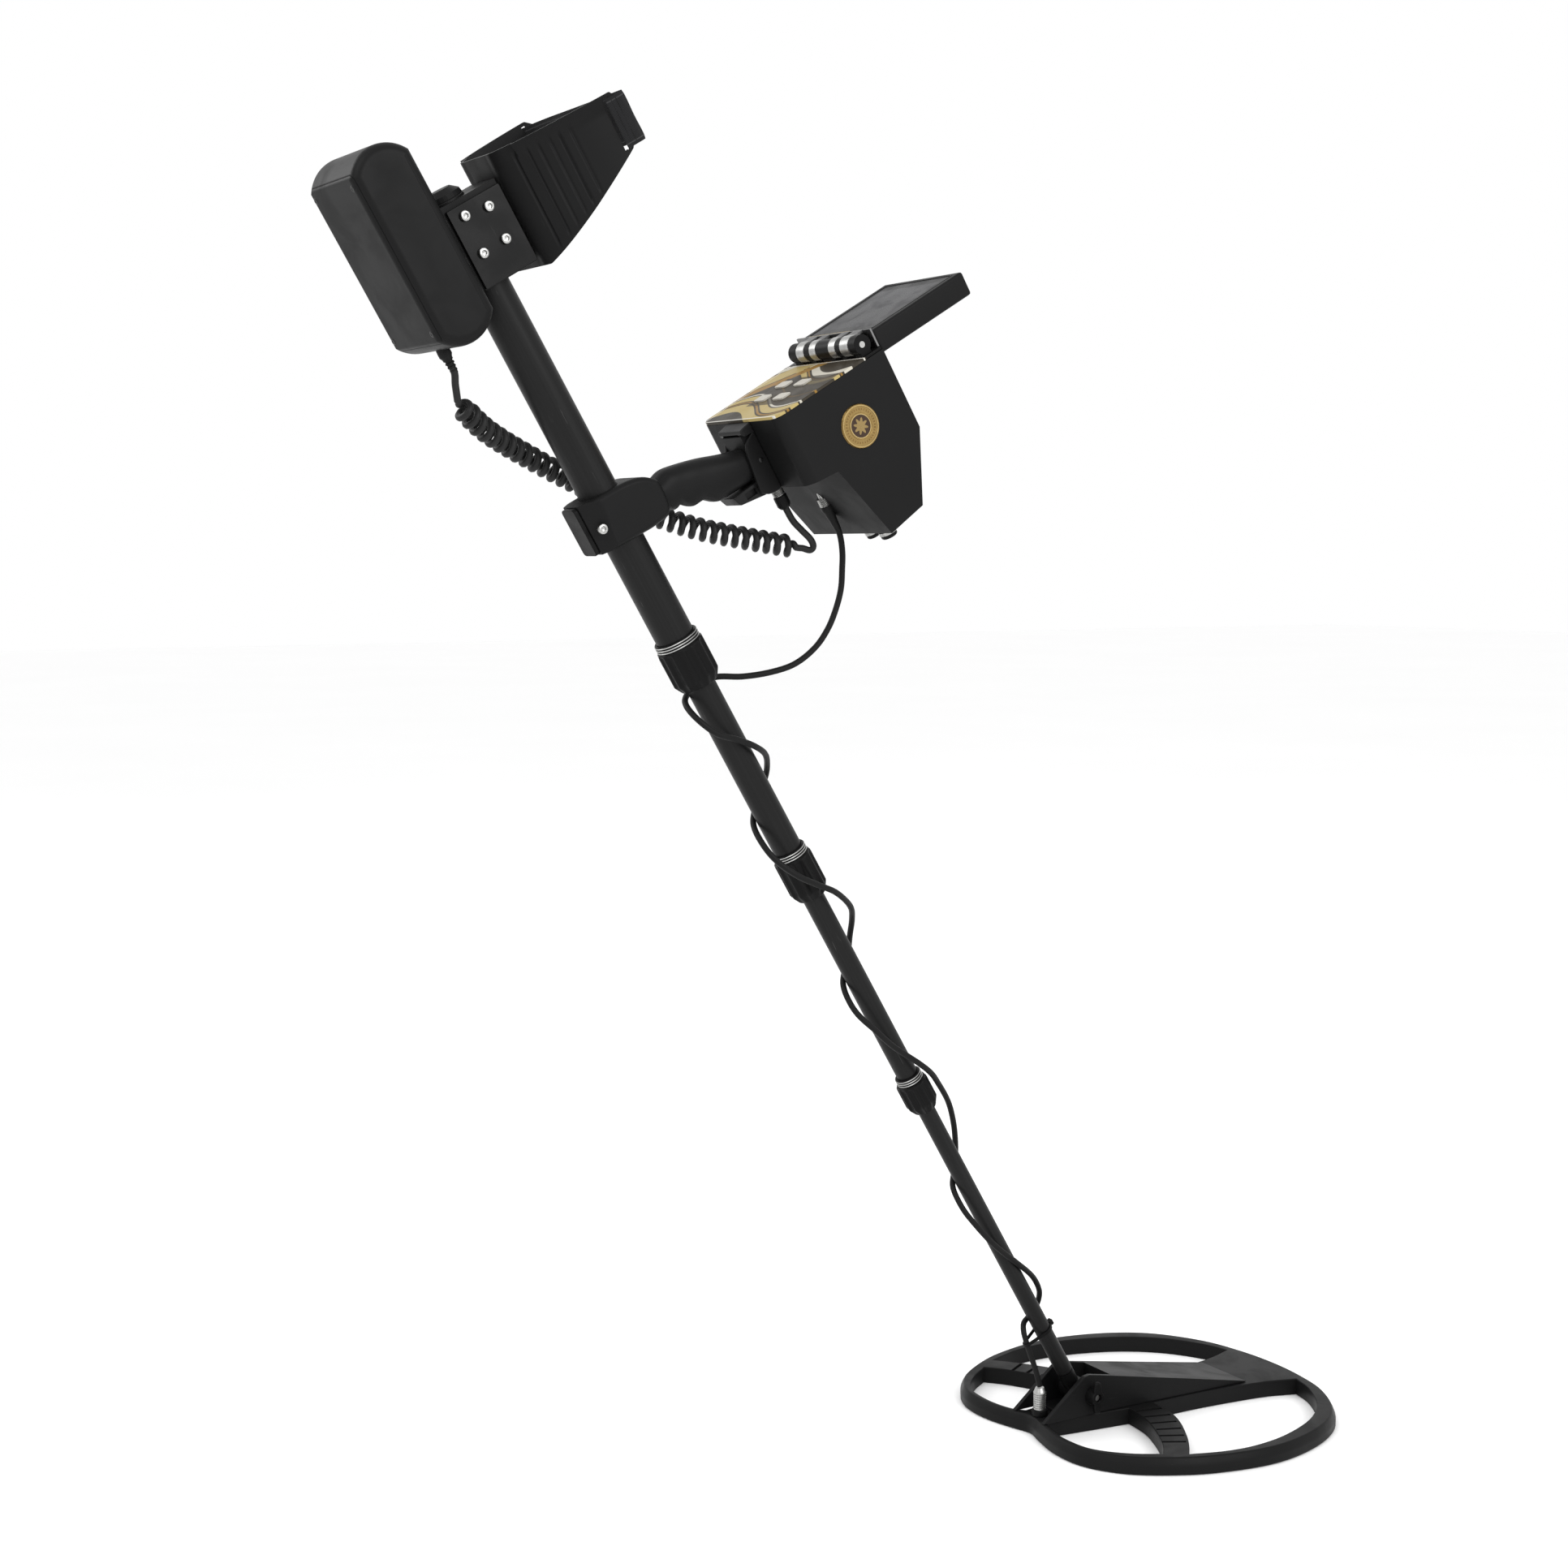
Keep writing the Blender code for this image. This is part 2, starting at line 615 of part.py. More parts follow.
# name, y, v, radius
SOCKETS = (("headphone_socket", -0.0450, 0.2300, 0.0092), ("charging_socket", -0.0180, 0.2300, 0.0078))
POWER_EXIT_V = 0.1662
COIL_EXIT_V = 0.2070


def connectors():
    for name, y, v, radius in SOCKETS:
        face = 0.4700 - (v - 0.219) * 0.1136 + radius * 0.12
        profile = [
            (face - 0.008, 0),
            (face - 0.008, radius * 0.55),
            (face + GAP, radius * 0.55),
            (face + GAP, radius),
            (face + 0.0085, radius),
            (face + 0.0100, radius - 0.0015),
            (face + 0.0100, 0),
        ]
        turned(name, PLASTIC, SHAFT, profile, "u", (0, y, v), 16, ring=False)
    power = [(0.3800, 0), (0.3800, 0.0036), (0.3882, 0.0036), (0.3882, 0.0060), (0.3965, 0.0060)]
    power += [(0.3970, 0.0068), (0.4080, 0.0068), (0.4100, 0.0048), (0.4100, 0)]
    turned("power_connector", STEEL, SHAFT, power, "u", (0, 0, POWER_EXIT_V), 16, ring=False)
    # This one sits in a spot-faced pocket of the sloping underside.
    coil = [(0.4150, 0), (0.4150, 0.0036), (0.4225, 0.0036), (0.4225, 0.0062), (0.4350, 0.0062)]
    coil += [(0.4370, 0.0045), (0.4370, 0)]
    turned("coil_connector", STEEL, SHAFT, coil, "u", (0, 0, COIL_EXIT_V), 16, ring=False)


def grip_socket():
    """The hooded boss on the box's near face that takes the front end of the grip."""
    side = [(316, 161.6), (386, 161.6), (385, 147), (382, 138), (379.5, 117), (369.5, 113)]
    side += [(369, 139), (367.5, 147.2), (323, 147.2), (318.5, 149)]
    boss = slab("grip_socket", PLASTIC, SHAFT, side, -0.021, 0.021)
    rounded(boss, 0.0015, 1, 60)


def medallion():
    y = -BOX_HALF - GAP
    profile = [(y - 0.0012, 0), (y - 0.0012, 0.0205), (y, 0.0212), (y, 0)]
    turned("medallion", GOLD, SHAFT, profile, "y", (0.3655, 0, 0.2385), 32, ring=False)


def display():
    u, v = HINGE_AXIS
    pin_hole = rod("pin_hole", None, SHAFT, (u, -0.08, v), "y", 0.16, 0.0035, 16)
    leaf = block(
        "hinge_base",
        PLASTIC,
        SHAFT,
        (PANEL_U, -BOX_HALF + 0.001, PANEL_BACK_V + GAP),
        (PANEL_U + PANEL_THICK - GAP / 3, BOX_HALF - 0.001, 0.2970),
    )
    for number, (low, high) in enumerate(KNUCKLES):
        barrel = rod(f"knuckle_{number}", PLASTIC, SHAFT, (u, low, v), "y", high - low, KNUCKLE_R, 20)
        foot = block(f"foot_{number}", PLASTIC, SHAFT, (u, low, v - 0.006), (PANEL_U + 0.001, high, v + 0.006))
        join(leaf, barrel, foot)
    cut(leaf, pin_hole)
    plate = block(
        "hinge_leaf", STEEL, SHAFT, (0.2940, -0.0655, DISPLAY_V[0] - 0.0023), (0.3125, 0.0655, DISPLAY_V[0] - GAP)
    )
    for number, (low, high) in enumerate(BANDS):
        barrel = rod(f"band_{number}", STEEL, SHAFT, (u, low, v), "y", high - low, KNUCKLE_R - 0.0002, 20)
        finger = block(f"finger_{number}", STEEL, SHAFT, (0.2937, low, v), (0.2962, high, DISPLAY_V[0] - 0.001))
        join(plate, barrel, finger)
    cut(plate, pin_hole)
    rod("hinge_pin", STEEL, SHAFT, (u, -0.0635, v), "y", 0.1175, 0.0031, 16)

    low = (DISPLAY_U[0], -DISPLAY_HALF, DISPLAY_V[0])
    high = (DISPLAY_U[1], DISPLAY_HALF, DISPLAY_V[1])
    case = rounded(block("display_housing", PLASTIC, SHAFT, low, high), 0.0025, 2)
    front = DISPLAY_U[0]
    seat = block("glass_seat", None, SHAFT, (front - 0.01, -0.0575, 0.3050), (front + 0.0025, 0.0575, 0.4110))
    hollow = block("display_hollow", None, SHAFT, (front, -0.0535, 0.3090), (front + 0.0200, 0.0535, 0.4070))
    cut(case, seat, hollow)
    block("display_glass", GLASS, SHAFT, (front + 0.0003, -0.0570, 0.3055), (front + 0.0022, 0.0570, 0.4105))


KNUCKLES = ((-0.0640, -0.0535), (-0.0380, -0.0305), (-0.0180, 0.0042), (0.0165, 0.0255), (0.0405, 0.0545))
BANDS = ((-0.0530, -0.0385), (-0.0300, -0.0185), (0.0047, 0.0160), (0.0260, 0.0400))


# ---------- the search coil ----------
COIL_HALF_OUTLINE = [(15, 0), (9, 22), (2, 50), (0, 75), (3, 100), (14, 124), (35, 149), (72, 173)]
COIL_HALF_OUTLINE += [(110, 189), (165, 200), (215, 197), (270, 179), (312, 149), (344, 99), (357, 49), (361, 0)]
REAR_HOLE = [(25, 20, "sharp"), (16, 32), (10.5, 55), (10, 80), (14, 102), (26, 121), (45, 139)]
REAR_HOLE += [(68, 154, "sharp"), (84, 135), (102.5, 103), (118, 66), (123, 33, "sharp"), (75, 27)]
FRONT_HOLE = [(91, 168.5, "sharp"), (130, 181), (167, 184.5), (213, 178), (265, 158), (305, 127), (331, 88)]
FRONT_HOLE += [(341, 57, "sharp"), (300, 45), (225, 36.5), (157, 34, "sharp"), (153.4, 67), (142.4, 95)]
FRONT_HOLE += [(123, 127.5), (107, 149.5)]


def mirrored(points):
    return [(p[0], -p[1], *p[2:]) for p in points][::-1]


def search_coil():
    rim = COIL_HALF_OUTLINE + mirrored(COIL_HALF_OUTLINE)[1:-1]
    loops = [rim] + [hole for side in (REAR_HOLE, FRONT_HOLE) for hole in (side, mirrored(side))]
    slab("coil_shell", PLASTIC, COIL, loops, 0.0, COIL_THICK, "level", smooth=3)
    base = COIL_THICK + GAP
    side = [(13, base / MM), (62, 57), (67, 60.5), (74, 61.5), (84, 59.5), (185, 39.5)]
    side += [(286, base / MM + 1), (286, base / MM)]
    yoke = slab("coil_yoke", PLASTIC, COIL, side, -0.040, 0.040)
    wide = EAR_OUT / MM
    plan = [(0, -wide), (90, -wide), (290, -36.5), (290, 36.5), (90, wide), (0, wide)]
    boolean(yoke, slab("yoke_plan", None, COIL, plan, 0.0, 0.08, "level"), "INTERSECT")
    gap = block("yoke_gap", None, COIL, (-0.01, -EAR_IN, 0.0), (0.105, EAR_IN, 0.08))
    floor = block("yoke_floor", PLASTIC, COIL, (0.045, -EAR_IN - 0.002, base), (0.110, EAR_IN + 0.002, base + 0.003))
    x, z = PIVOT
    hole = rod("pivot_hole", None, COIL, (x, -0.05, z), "y", 0.1, 0.0043, 16)
    cut(join(cut(yoke, gap), floor), hole)
    end = EAR_OUT + GAP
    bolt = [(-end - 0.0070, 0), (-end - 0.0070, 0.0038), (end, 0.0038), (end, 0.0080), (end + 0.0045, 0.0080)]
    bolt += [(end + 0.0055, 0.0065), (end + 0.0055, 0)]
    turned("pivot_bolt", STEEL, COIL, bolt, "y", (x, 0, z), 16, ring=False)
    hub = [(-end - 0.0110, 0.0043), (-end - 0.0110, 0.0080), (-end, 0.0095), (-end, 0.0043)]
    nut = turned("pivot_wing_nut", PLASTIC, COIL, hub, "y", (x, 0, z), 16)
    wing = [(-4, 6), (4, 6), (3, 16), (0, 17.5), (-3, 16)]
    for sign in (-1, 1):
        ring = [(x / MM + a, z / MM + sign * b) for a, b in wing]
        ears = slab(f"nut_wing_{sign}", PLASTIC, COIL, ring[::sign], -end - 0.0105, -end - 0.0065)
        join(nut, ears)
    socket = [(base, 0), (base, 0.0085), (base + 0.006, 0.0085), (base + 0.007, 0.0068), (base + 0.025, 0.0068)]
    socket += [(base + 0.030, 0.0045), (base + 0.030, 0)]
    turned("coil_plug", STEEL, COIL, socket, "v", (COIL_PLUG_X, 0, 0), 16, ring=False)


def lower_lug():
    """The plastic fork tongue that plugs into the lowest tube and turns on the pivot bolt."""
    u, v = LUG_CENTRE
    lug = rod("lower_lug", PLASTIC, SHAFT, (1.330, 0, 0), "u", u - 1.330, TUBE_BORES[3] - GAP, 20)
    sleeve = rod("lug_sleeve", PLASTIC, SHAFT, (TUBE_ENDS[3] + GAP, 0, 0), "u", 0.020, TUBE_RADII[3], 20)
    eye = rod("lug_eye", PLASTIC, SHAFT, (u, -0.0130, v), "y", 0.026, 0.0125, 20)
    spacer = rod("lug_spacer", PLASTIC, SHAFT, (u, -EAR_IN + GAP, v), "y", 2 * (EAR_IN - GAP), 0.0100, 20)
    hole = rod("lug_hole", None, SHAFT, (u, -0.03, v), "y", 0.06, 0.0043, 16)
    cut(join(lug, sleeve, eye, spacer), hole)


def pivot_in_shaft_frame():
    """u and v of the coil's pivot."""
    x, z = COIL_HEEL_X + PIVOT[0], COIL_FLOOR_Z + PIVOT[1]
    cos, sin = math.cos(SHAFT_PITCH), math.sin(SHAFT_PITCH)
    return GRIP_POINT[0] + x * cos - z * sin, GRIP_POINT[1] + x * sin + z * cos


LUG_CENTRE = pivot_in_shaft_frame()


# ---------- cables ----------
# Each route is listed as (u, y, v) in millimetres in the shaft frame. The coil's cable winds
# round the shaft once a section; each slide takes up slack between the u values of CABLE_SPLITS.
COIL_ROUTE = [(437.3, 0, 207), (449, 0, 208), (465, 0, 206), (480, 0, 200), (493, 0, 192)]
COIL_ROUTE += [(509, 0, 181), (523, 0, 166), (535, 0, 148), (543, 0, 126), (545, 2, 100), (539, 6, 75)]
COIL_ROUTE += [(528, 12, 49), (516, 20, 29), (512, 25, 13), (512, 21, -4), (513, 4, -21), (524, -18, -28)]
COIL_ROUTE += [(546, -25, -20), (564, -24, -3), (582, -19, 12), (602, 0, 26), (621, 18, 29), (633, 24, 22)]
COIL_ROUTE += [(642, 22, 10), (650, 19, -4), (658, 8, -17), (672, -12, -26), (690, -21, -25), (712, -28, -16)]
COIL_ROUTE += [(732, -28, -2), (753, -22, 14), (781, -6, 28), (801, 10, 31), (821, 22, 25), (836, 20, 12)]
COIL_ROUTE += [(844, 16, 0), (852, 9, -12), (863, -3, -20), (877, -14, -23), (900, -20, -17), (925, -22, -9)]
COIL_ROUTE += [(958, -22, 7), (978, -17, 16), (997, -8, 22), (1029, 4, 28), (1057, 12, 26), (1081, 17, 19)]
COIL_ROUTE += [(1096, 16, 9), (1105, 14, 0), (1113, 6, -12), (1130, -7, -19), (1150, -13, -18), (1175, -15, -13)]
COIL_ROUTE += [(1197, -15, -6), (1219, -13, 3), (1251, -4, 16), (1275, 4, 20), (1288, 9, 17), (1296, 12, 9)]
COIL_ROUTE += [(1299, 12.5, -2), (1297, 7, -13), (1301, 1, -20.5), (1311, 0, -23.5), (1325, 0, -26), (1340, 0, -28.4)]
CABLE_SPLITS = (655, 856, 1108)
GLAND_LEAD = [(130.5, 0, -68), (138, 0, -68.8), (146, 1, -72.5), (153, 2, -75), (159, 3, -77)]
CURL_ROUTE = [(161, 3.5, -77), (176, 9, -72), (196, 18, -62), (218, 28, -47), (244, 36, -28), (272, 40, -8)]
CURL_ROUTE += [(300, 42.5, 13), (332, 41, 38), (360, 35, 62), (388, 27, 88), (418, 18, 122), (440, 11, 148)]
CURL_ROUTE += [(452, 7, 162)]
CONNECTOR_LEAD = [(455, 5.5, 166), (460, 3, 171), (458, 1, 175), (450, 0, 175), (438, 0, 171), (425, 0, 167)]
CONNECTOR_LEAD += [(410.4, 0, 166.2)]


def in_row_frame(route):
    return [shaft_point(u * MM, y * MM, v * MM) for u, y, v in route]


def cables():
    x, z = COIL_PLUG_X, COIL_THICK + GAP + 0.030 + 0.0014
    plug_top = COIL.location + Vector((x, 0, z))
    route = in_row_frame(COIL_ROUTE) + [plug_top + Vector((-0.0035, 0, 0.0110)), plug_top]
    route = smooth_route(route, 126)
    names = ("coil_cable_upper", "coil_cable_second", "coil_cable_third", "coil_cable_lower")
    start, ahead = route[0], 1
    for name, split in zip(names, (*CABLE_SPLITS, None), strict=True):
        stop, end = len(route), []
        if split:
            stop = next(n for n, spot in enumerate(route) if shaft_u(spot) > split * MM)
            middle = (route[stop] + route[stop - 1]) / 2
            half_gap = (route[stop] - route[stop - 1]).normalized() * GAP / 2
            end = [middle - half_gap]
        tube(name, [start, *route[ahead:stop], *end], CABLE_R)
        if split:
            start, ahead = middle + half_gap, stop
    cord("power_cord_gland_lead", in_row_frame(GLAND_LEAD), CORD_R, 8)
    cord("power_cord_curl", in_row_frame(CURL_ROUTE), CURL_R, 26, 3)
    cord("power_cord_connector_lead", in_row_frame(CONNECTOR_LEAD), CORD_R, 12)


shaft()
bracket()
battery_box()
arm_cuff()
grip()
control_box()
connectors()
grip_socket()
medallion()
display()
search_coil()
lower_lug()
cables()
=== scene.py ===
"""The looks of a long-range metal detector: finished surfaces and detailed pieces round its CAD
frame. The shaft frame runs u along the shaft from its upper end, v square to it, up and forward,
and y sideways. The coil frame is level, with x forward from the coil's heel."""

from math import asin, copysign, cos, pi, radians, sin, tau

import bmesh
import bpy
from mathutils import Matrix, Vector


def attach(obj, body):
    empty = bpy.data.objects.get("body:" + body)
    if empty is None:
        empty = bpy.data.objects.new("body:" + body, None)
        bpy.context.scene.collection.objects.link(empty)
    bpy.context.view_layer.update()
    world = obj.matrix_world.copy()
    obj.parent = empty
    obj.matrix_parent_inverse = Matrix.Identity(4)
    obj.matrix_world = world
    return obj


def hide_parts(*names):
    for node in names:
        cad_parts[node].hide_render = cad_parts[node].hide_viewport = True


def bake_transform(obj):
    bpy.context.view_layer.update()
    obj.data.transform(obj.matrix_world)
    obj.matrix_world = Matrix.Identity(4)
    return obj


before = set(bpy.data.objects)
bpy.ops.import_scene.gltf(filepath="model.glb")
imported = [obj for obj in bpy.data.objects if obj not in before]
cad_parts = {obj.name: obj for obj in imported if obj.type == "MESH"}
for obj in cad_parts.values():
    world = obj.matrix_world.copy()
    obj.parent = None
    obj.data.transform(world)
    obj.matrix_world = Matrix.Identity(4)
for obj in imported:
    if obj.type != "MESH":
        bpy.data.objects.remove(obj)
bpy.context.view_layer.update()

MM = 0.001
PITCH = radians(59.27)  # the shaft, below the horizontal
GRIP_POINT = (0.342, 0.095)  # u and v of the row's origin
COIL_HEEL_X = 0.3835
FLOOR_Z = -0.9950
FLOOR_GAP = 0.0004
FLOOR_REACH = 22.0

# The shaft, in millimetres: each tube's node and body, radius, bore, top and end.
TUBES = (
    ("upper_tube", "frame"),
    ("second_tube", "second_section"),
    ("third_tube", "third_section"),
    ("lower_tube", "lower_section"),
)
TUBE_RADII = (19, 14.4, 11, 9)
TUBE_BORES = (17, 12.8, 9.7, 7.6)
TUBE_TOPS = (6, 400, 640, 905)
TUBE_ENDS = (480, 724, 995, 1372)
COLLARS = ((452, 504, 23.7), (694, 749, 19.5), (971, 1015, 16.8))  # top, bottom, radius
COLLAR_FLUTES = (14, 12, 12)
COLLAR_RINGS = (1.0, 3.6, 6.2)

# Other sizes in millimetres, in the shaft frame unless the coil is named.
SCREW_R = 4.8
BRACKET_BOLTS = ((23, -2), (26, 22.5), (57, 22.5), (58, -3))
CLAMP_BOLT = (322, -24.5)
CLAMP_BORE = 19.4
BATTERY_HALF_WIDTH = 53
STRAP_WIDTH = 46
GRIP_FOOT, GRIP_HEIGHT, GRIP_HALF_DEPTH = 36, 110.8, 16.3
POWER_EXIT_V, COIL_EXIT_V = 166.2, 207.0
THREAD_PITCH, THREAD_DEPTH = 1.3, 0.45
HINGE_U, HINGE_V = 303, 283
PIVOT = (77.0, 38.5)  # x and z in the coil frame
PLUG_X, PLUG_Z = 28.5, 18.3  # in the coil frame
GLAND_V = -68
ON_AXIS = 0.1  # where a turned shape starts or ends, almost on its axis
SEAL = (0.3655, 0.2385)  # the medallion's middle, u and v in metres

# Cords, in metres.
CABLE_R = 0.003
LEAD_R = 0.0033
CURL_TURNS = 36
CURL_REACH = 0.0082


def shaft_point(u, y, v):
    """A point of the shaft frame, in metres, in the row frame."""
    u, v = u - GRIP_POINT[0], v - GRIP_POINT[1]
    c, s = cos(PITCH), sin(PITCH)
    return Vector((u * c + v * s, y, v * c - u * s))


SHAFT = Matrix.Translation(shaft_point(0, 0, 0)) @ Matrix.Rotation(PITCH, 4, "Y")
COIL = Matrix.Translation((COIL_HEEL_X, 0, FLOOR_Z))
SCALE = Matrix.Diagonal((MM, MM, MM, 1))


# ---------- camera, floor and light ----------
def placed(name, data):
    made = bpy.data.objects.new(name, data)
    bpy.context.scene.collection.objects.link(made)
    return made


def camera():
    data = bpy.data.cameras.new("camera")
    data.lens = 55.5
    data.sensor_width = 36.0
    data.clip_end = 60.0
    made = placed("camera", data)
    made.location = (-1.1150, -1.9909, -0.0674)
    made.rotation_euler = (radians(90 - 5.409), 0, radians(-31.275))
    bpy.context.scene.camera = made


def area_light(name, spot, aim, size, power):
    data = bpy.data.lights.new(name, "AREA")
    data.shape = "RECTANGLE"
    data.size, data.size_y = size
    data.energy = power
    made = placed(name, data)
    made.location = spot
    made.rotation_euler = (Vector(aim) - Vector(spot)).to_track_quat("-Z", "Y").to_euler()


def studio():
    world = bpy.data.worlds.new("studio")
    world.use_nodes = True
    sky = world.node_tree.nodes["Background"].inputs
    sky["Color"].default_value = (1, 1, 1, 1)
    sky["Strength"].default_value = 1.0
    bpy.context.scene.world = world
    bpy.context.scene.view_settings.view_transform = "Standard"
    area_light("key", (-2.4, -1.2, 2.3), (0.2, 0, -0.2), (2.2, 2.2), 38)
    area_light("fill", (0.6, -3.2, 1.2), (0.2, 0, -0.2), (2.2, 1.8), 60)
    area_light("rim", (-1.9, 2.4, 1.5), (0.1, 0, -0.2), (1.6, 1.6), 30)
    mesh = bpy.data.meshes.new("floor")
    far = FLOOR_REACH
    corners = [(-far, -far, 0), (far, -far, 0), (far, far, 0), (-far, far, 0)]
    mesh.from_pydata(corners, [], [(0, 1, 2, 3)])
    floor = placed("floor", mesh)
    floor.location.z = FLOOR_Z - FLOOR_GAP
    look = Look("floor_white")
    look.colour(look.mix(look.noise(0.8, 3, vector=look.plain()), 0.97, 1.0))
    look.set(Roughness=0.75)
    mesh.materials.append(look.material)


# ---------- node materials ----------
class Look:
    """One node material, and the name of a slot, which is not used.

    Positions are read in the shaft frame, or in the coil frame for a level look. A colour may be
    given as one number, which means a grey."""

    def __init__(self, name, slot=None, level=False):
        self.material = bpy.data.materials.new(name)
        self.material.use_nodes = True
        self.tree = self.material.node_tree
        self.shader = self.tree.nodes["Principled BSDF"]
        self.slot = slot
        self.level = level
        self._place = None

    def node(self, kind, values=None, **settings):
        made = self.tree.nodes.new(kind)
        for key, value in settings.items():
            setattr(made, key, value)
        for key, value in (values or {}).items():
            self.feed(made.inputs[key], value)
        return made

    def feed(self, socket, value):
        if isinstance(value, bpy.types.NodeSocket):
            self.tree.links.new(value, socket)
        elif socket.type == "RGBA":
            socket.default_value = (*(value if isinstance(value, tuple) else (value,) * 3), 1.0)
        else:
            socket.default_value = value

    def plain(self):
        return self.node("ShaderNodeTexCoord").outputs["Object"]

    def place(self):
        if self._place is None:
            if self.level:
                move, turn = (COIL_HEEL_X, 0, FLOOR_Z), (0, 0, 0)
            else:
                move, turn = tuple(shaft_point(0, 0, 0)), (0, PITCH, 0)
            values = {"Vector": self.plain(), "Location": move, "Rotation": turn}
            self._place = self.node("ShaderNodeMapping", values, vector_type="TEXTURE").outputs[0]
        return self._place

    def stretched(self, by, vector=None):
        source = self.place() if vector is None else vector
        made = self.node("ShaderNodeVectorMath", {0: source, 1: by}, operation="MULTIPLY")
        return made.outputs[0]

    def axes(self):
        parts = self.node("ShaderNodeSeparateXYZ", {0: self.place()}).outputs
        return parts[0], parts[1], parts[2]

    def noise(self, scale, detail=3.0, vector=None, warp=0.0):
        source = self.place() if vector is None else vector
        values = {"Vector": source, "Scale": scale, "Detail": detail, "Roughness": 0.55}
        values["Distortion"] = warp
        return self.node("ShaderNodeTexNoise", values).outputs[0]

    def math(self, operation, a, b=0.0, c=0.0):
        return self.node("ShaderNodeMath", {0: a, 1: b, 2: c}, operation=operation).outputs[0]

    def times(self, a, b):
        return self.math("MULTIPLY", a, b)

    def plus(self, a, b):
        return self.math("ADD", a, b)

    def less(self, a, b):
        return self.math("SUBTRACT", a, b)

    def wave(self, value, rate):
        return self.math("SINE", self.times(value, rate))

    def step(self, value, low, high, start=0.0, end=1.0):
        values = {"Value": value, "From Min": low, "From Max": high, "To Min": start, "To Max": end}
        return self.node("ShaderNodeMapRange", values, interpolation_type="SMOOTHSTEP").outputs[0]

    def within(self, value, low, high, soft):
        """1 between low and high, 0 outside."""
        rise = self.step(value, low - soft, low + soft)
        return self.times(rise, self.step(value, high - soft, high + soft, 1.0, 0.0))

    def mix(self, share, a, b):
        made = self.node("ShaderNodeMix", data_type="RGBA")
        colours = [s for s in made.inputs if s.type == "RGBA"]
        self.feed(made.inputs[0], share)
        self.feed(colours[0], a)
        self.feed(colours[1], b)
        return next(s for s in made.outputs if s.type == "RGBA")

    def colour(self, value):
        self.feed(self.shader.inputs["Base Color"], value)

    def paint(self, share, ink):
        """Lays an ink over the colour so far."""
        below = self.shader.inputs["Base Color"].links[0].from_socket
        self.colour(self.mix(share, below, ink))

    def set(self, **values):
        for key, value in values.items():
            self.feed(self.shader.inputs[key.replace("_", " ")], value)

    def bump(self, height, depth, strength):
        before = self.shader.inputs["Normal"].links
        values = {"Height": height, "Distance": depth, "Strength": strength}
        if before:
            values["Normal"] = before[0].from_socket
        self.feed(self.shader.inputs["Normal"], self.node("ShaderNodeBump", values).outputs[0])


def scratched(look, amount):
    """Fine hairline scratches, mostly along the shaft: 0 almost everywhere, 1 in a scratch."""
    lines = look.noise(1.0, 4, look.stretched((26, 900, 900)), warp=0.4)
    lines = look.step(lines, 0.66, 0.72)
    return look.times(look.times(lines, look.step(look.noise(14, 2), 0.5, 0.65)), amount)


def moulded(
    name,
    tone=0.0060,
    rough=0.42,
    grain=2600,
    depth=0.00004,
    gloss=0.08,
    slot="satin_plastic",
    level=False,
):
    """Spark-textured black plastic with handling marks, hairline scratches and faint dust."""
    look = Look(name, slot, level)
    fine = look.noise(grain, 2)
    low, high = (tone * 0.8, tone * 0.8, tone * 0.82), (tone * 1.3, tone * 1.3, tone * 1.32)
    look.colour(look.mix(look.noise(7, 4), low, high))
    look.paint(look.times(fine, 0.25), tone * 2.4)
    look.paint(scratched(look, 0.30), 0.035)
    smear = look.step(look.noise(22, 3, warp=0.6), 0.35, 0.7, rough - 0.05, rough + 0.07)
    look.set(Roughness=look.plus(smear, look.times(fine, 0.05)), Specular_IOR_Level=gloss)
    look.bump(fine, depth, 0.5)
    look.bump(look.noise(110, 2), 0.00002, 0.35)
    return look


def enamel(name, tone=0.0062):
    """Satin paint on drawn aluminium tube: orange peel and long rub marks."""
    look = Look(name, "painted_tube")
    look.colour(look.mix(look.noise(5, 4), tone * 0.85, tone * 1.3))
    rubs = look.step(look.noise(1.0, 5, look.stretched((5, 420, 420))), 0.40, 0.80)
    look.paint(look.times(rubs, 0.22), (0.020, 0.020, 0.021))
    look.paint(scratched(look, 0.5), 0.09)
    look.set(Roughness=look.step(rubs, 0.0, 1.0, 0.42, 0.36), Specular_IOR_Level=0.13)
    look.bump(look.noise(380, 2), 0.00003, 0.4)
    look.bump(rubs, 0.00002, 0.3)
    return look


def jacket(name, tone=0.0055, rough=0.5):
    """A rubbery cable jacket: fine moulding grain and grey dust."""
    look = Look(name, "rubber")
    dust = look.noise(45, 4)
    look.colour(look.mix(dust, tone * 0.8, tone * 1.7))
    look.set(Roughness=look.step(dust, 0.3, 0.7, rough - 0.06, rough + 0.08))
    look.set(Specular_IOR_Level=0.11)
    look.bump(look.noise(1800, 2), 0.00005, 0.4)
    return look


def metal(name, tone, rough, along=(40, 900, 900)):
    """Brushed metal, a little darker and duller where it has been handled."""
    look = Look(name, "steel")
    brushed = look.noise(1.0, 4, look.stretched(along))
    stain = look.step(look.noise(90, 4), 0.42, 0.75)
    look.colour(look.mix(look.times(stain, 0.5), tone, tuple(c * 0.55 for c in tone)))
    look.paint(look.times(brushed, 0.35), tuple(c * 0.75 for c in tone))
    look.set(Metallic=1.0, Roughness=look.plus(look.times(stain, 0.12), rough))
    look.bump(brushed, 0.00003, 0.35)
    return look


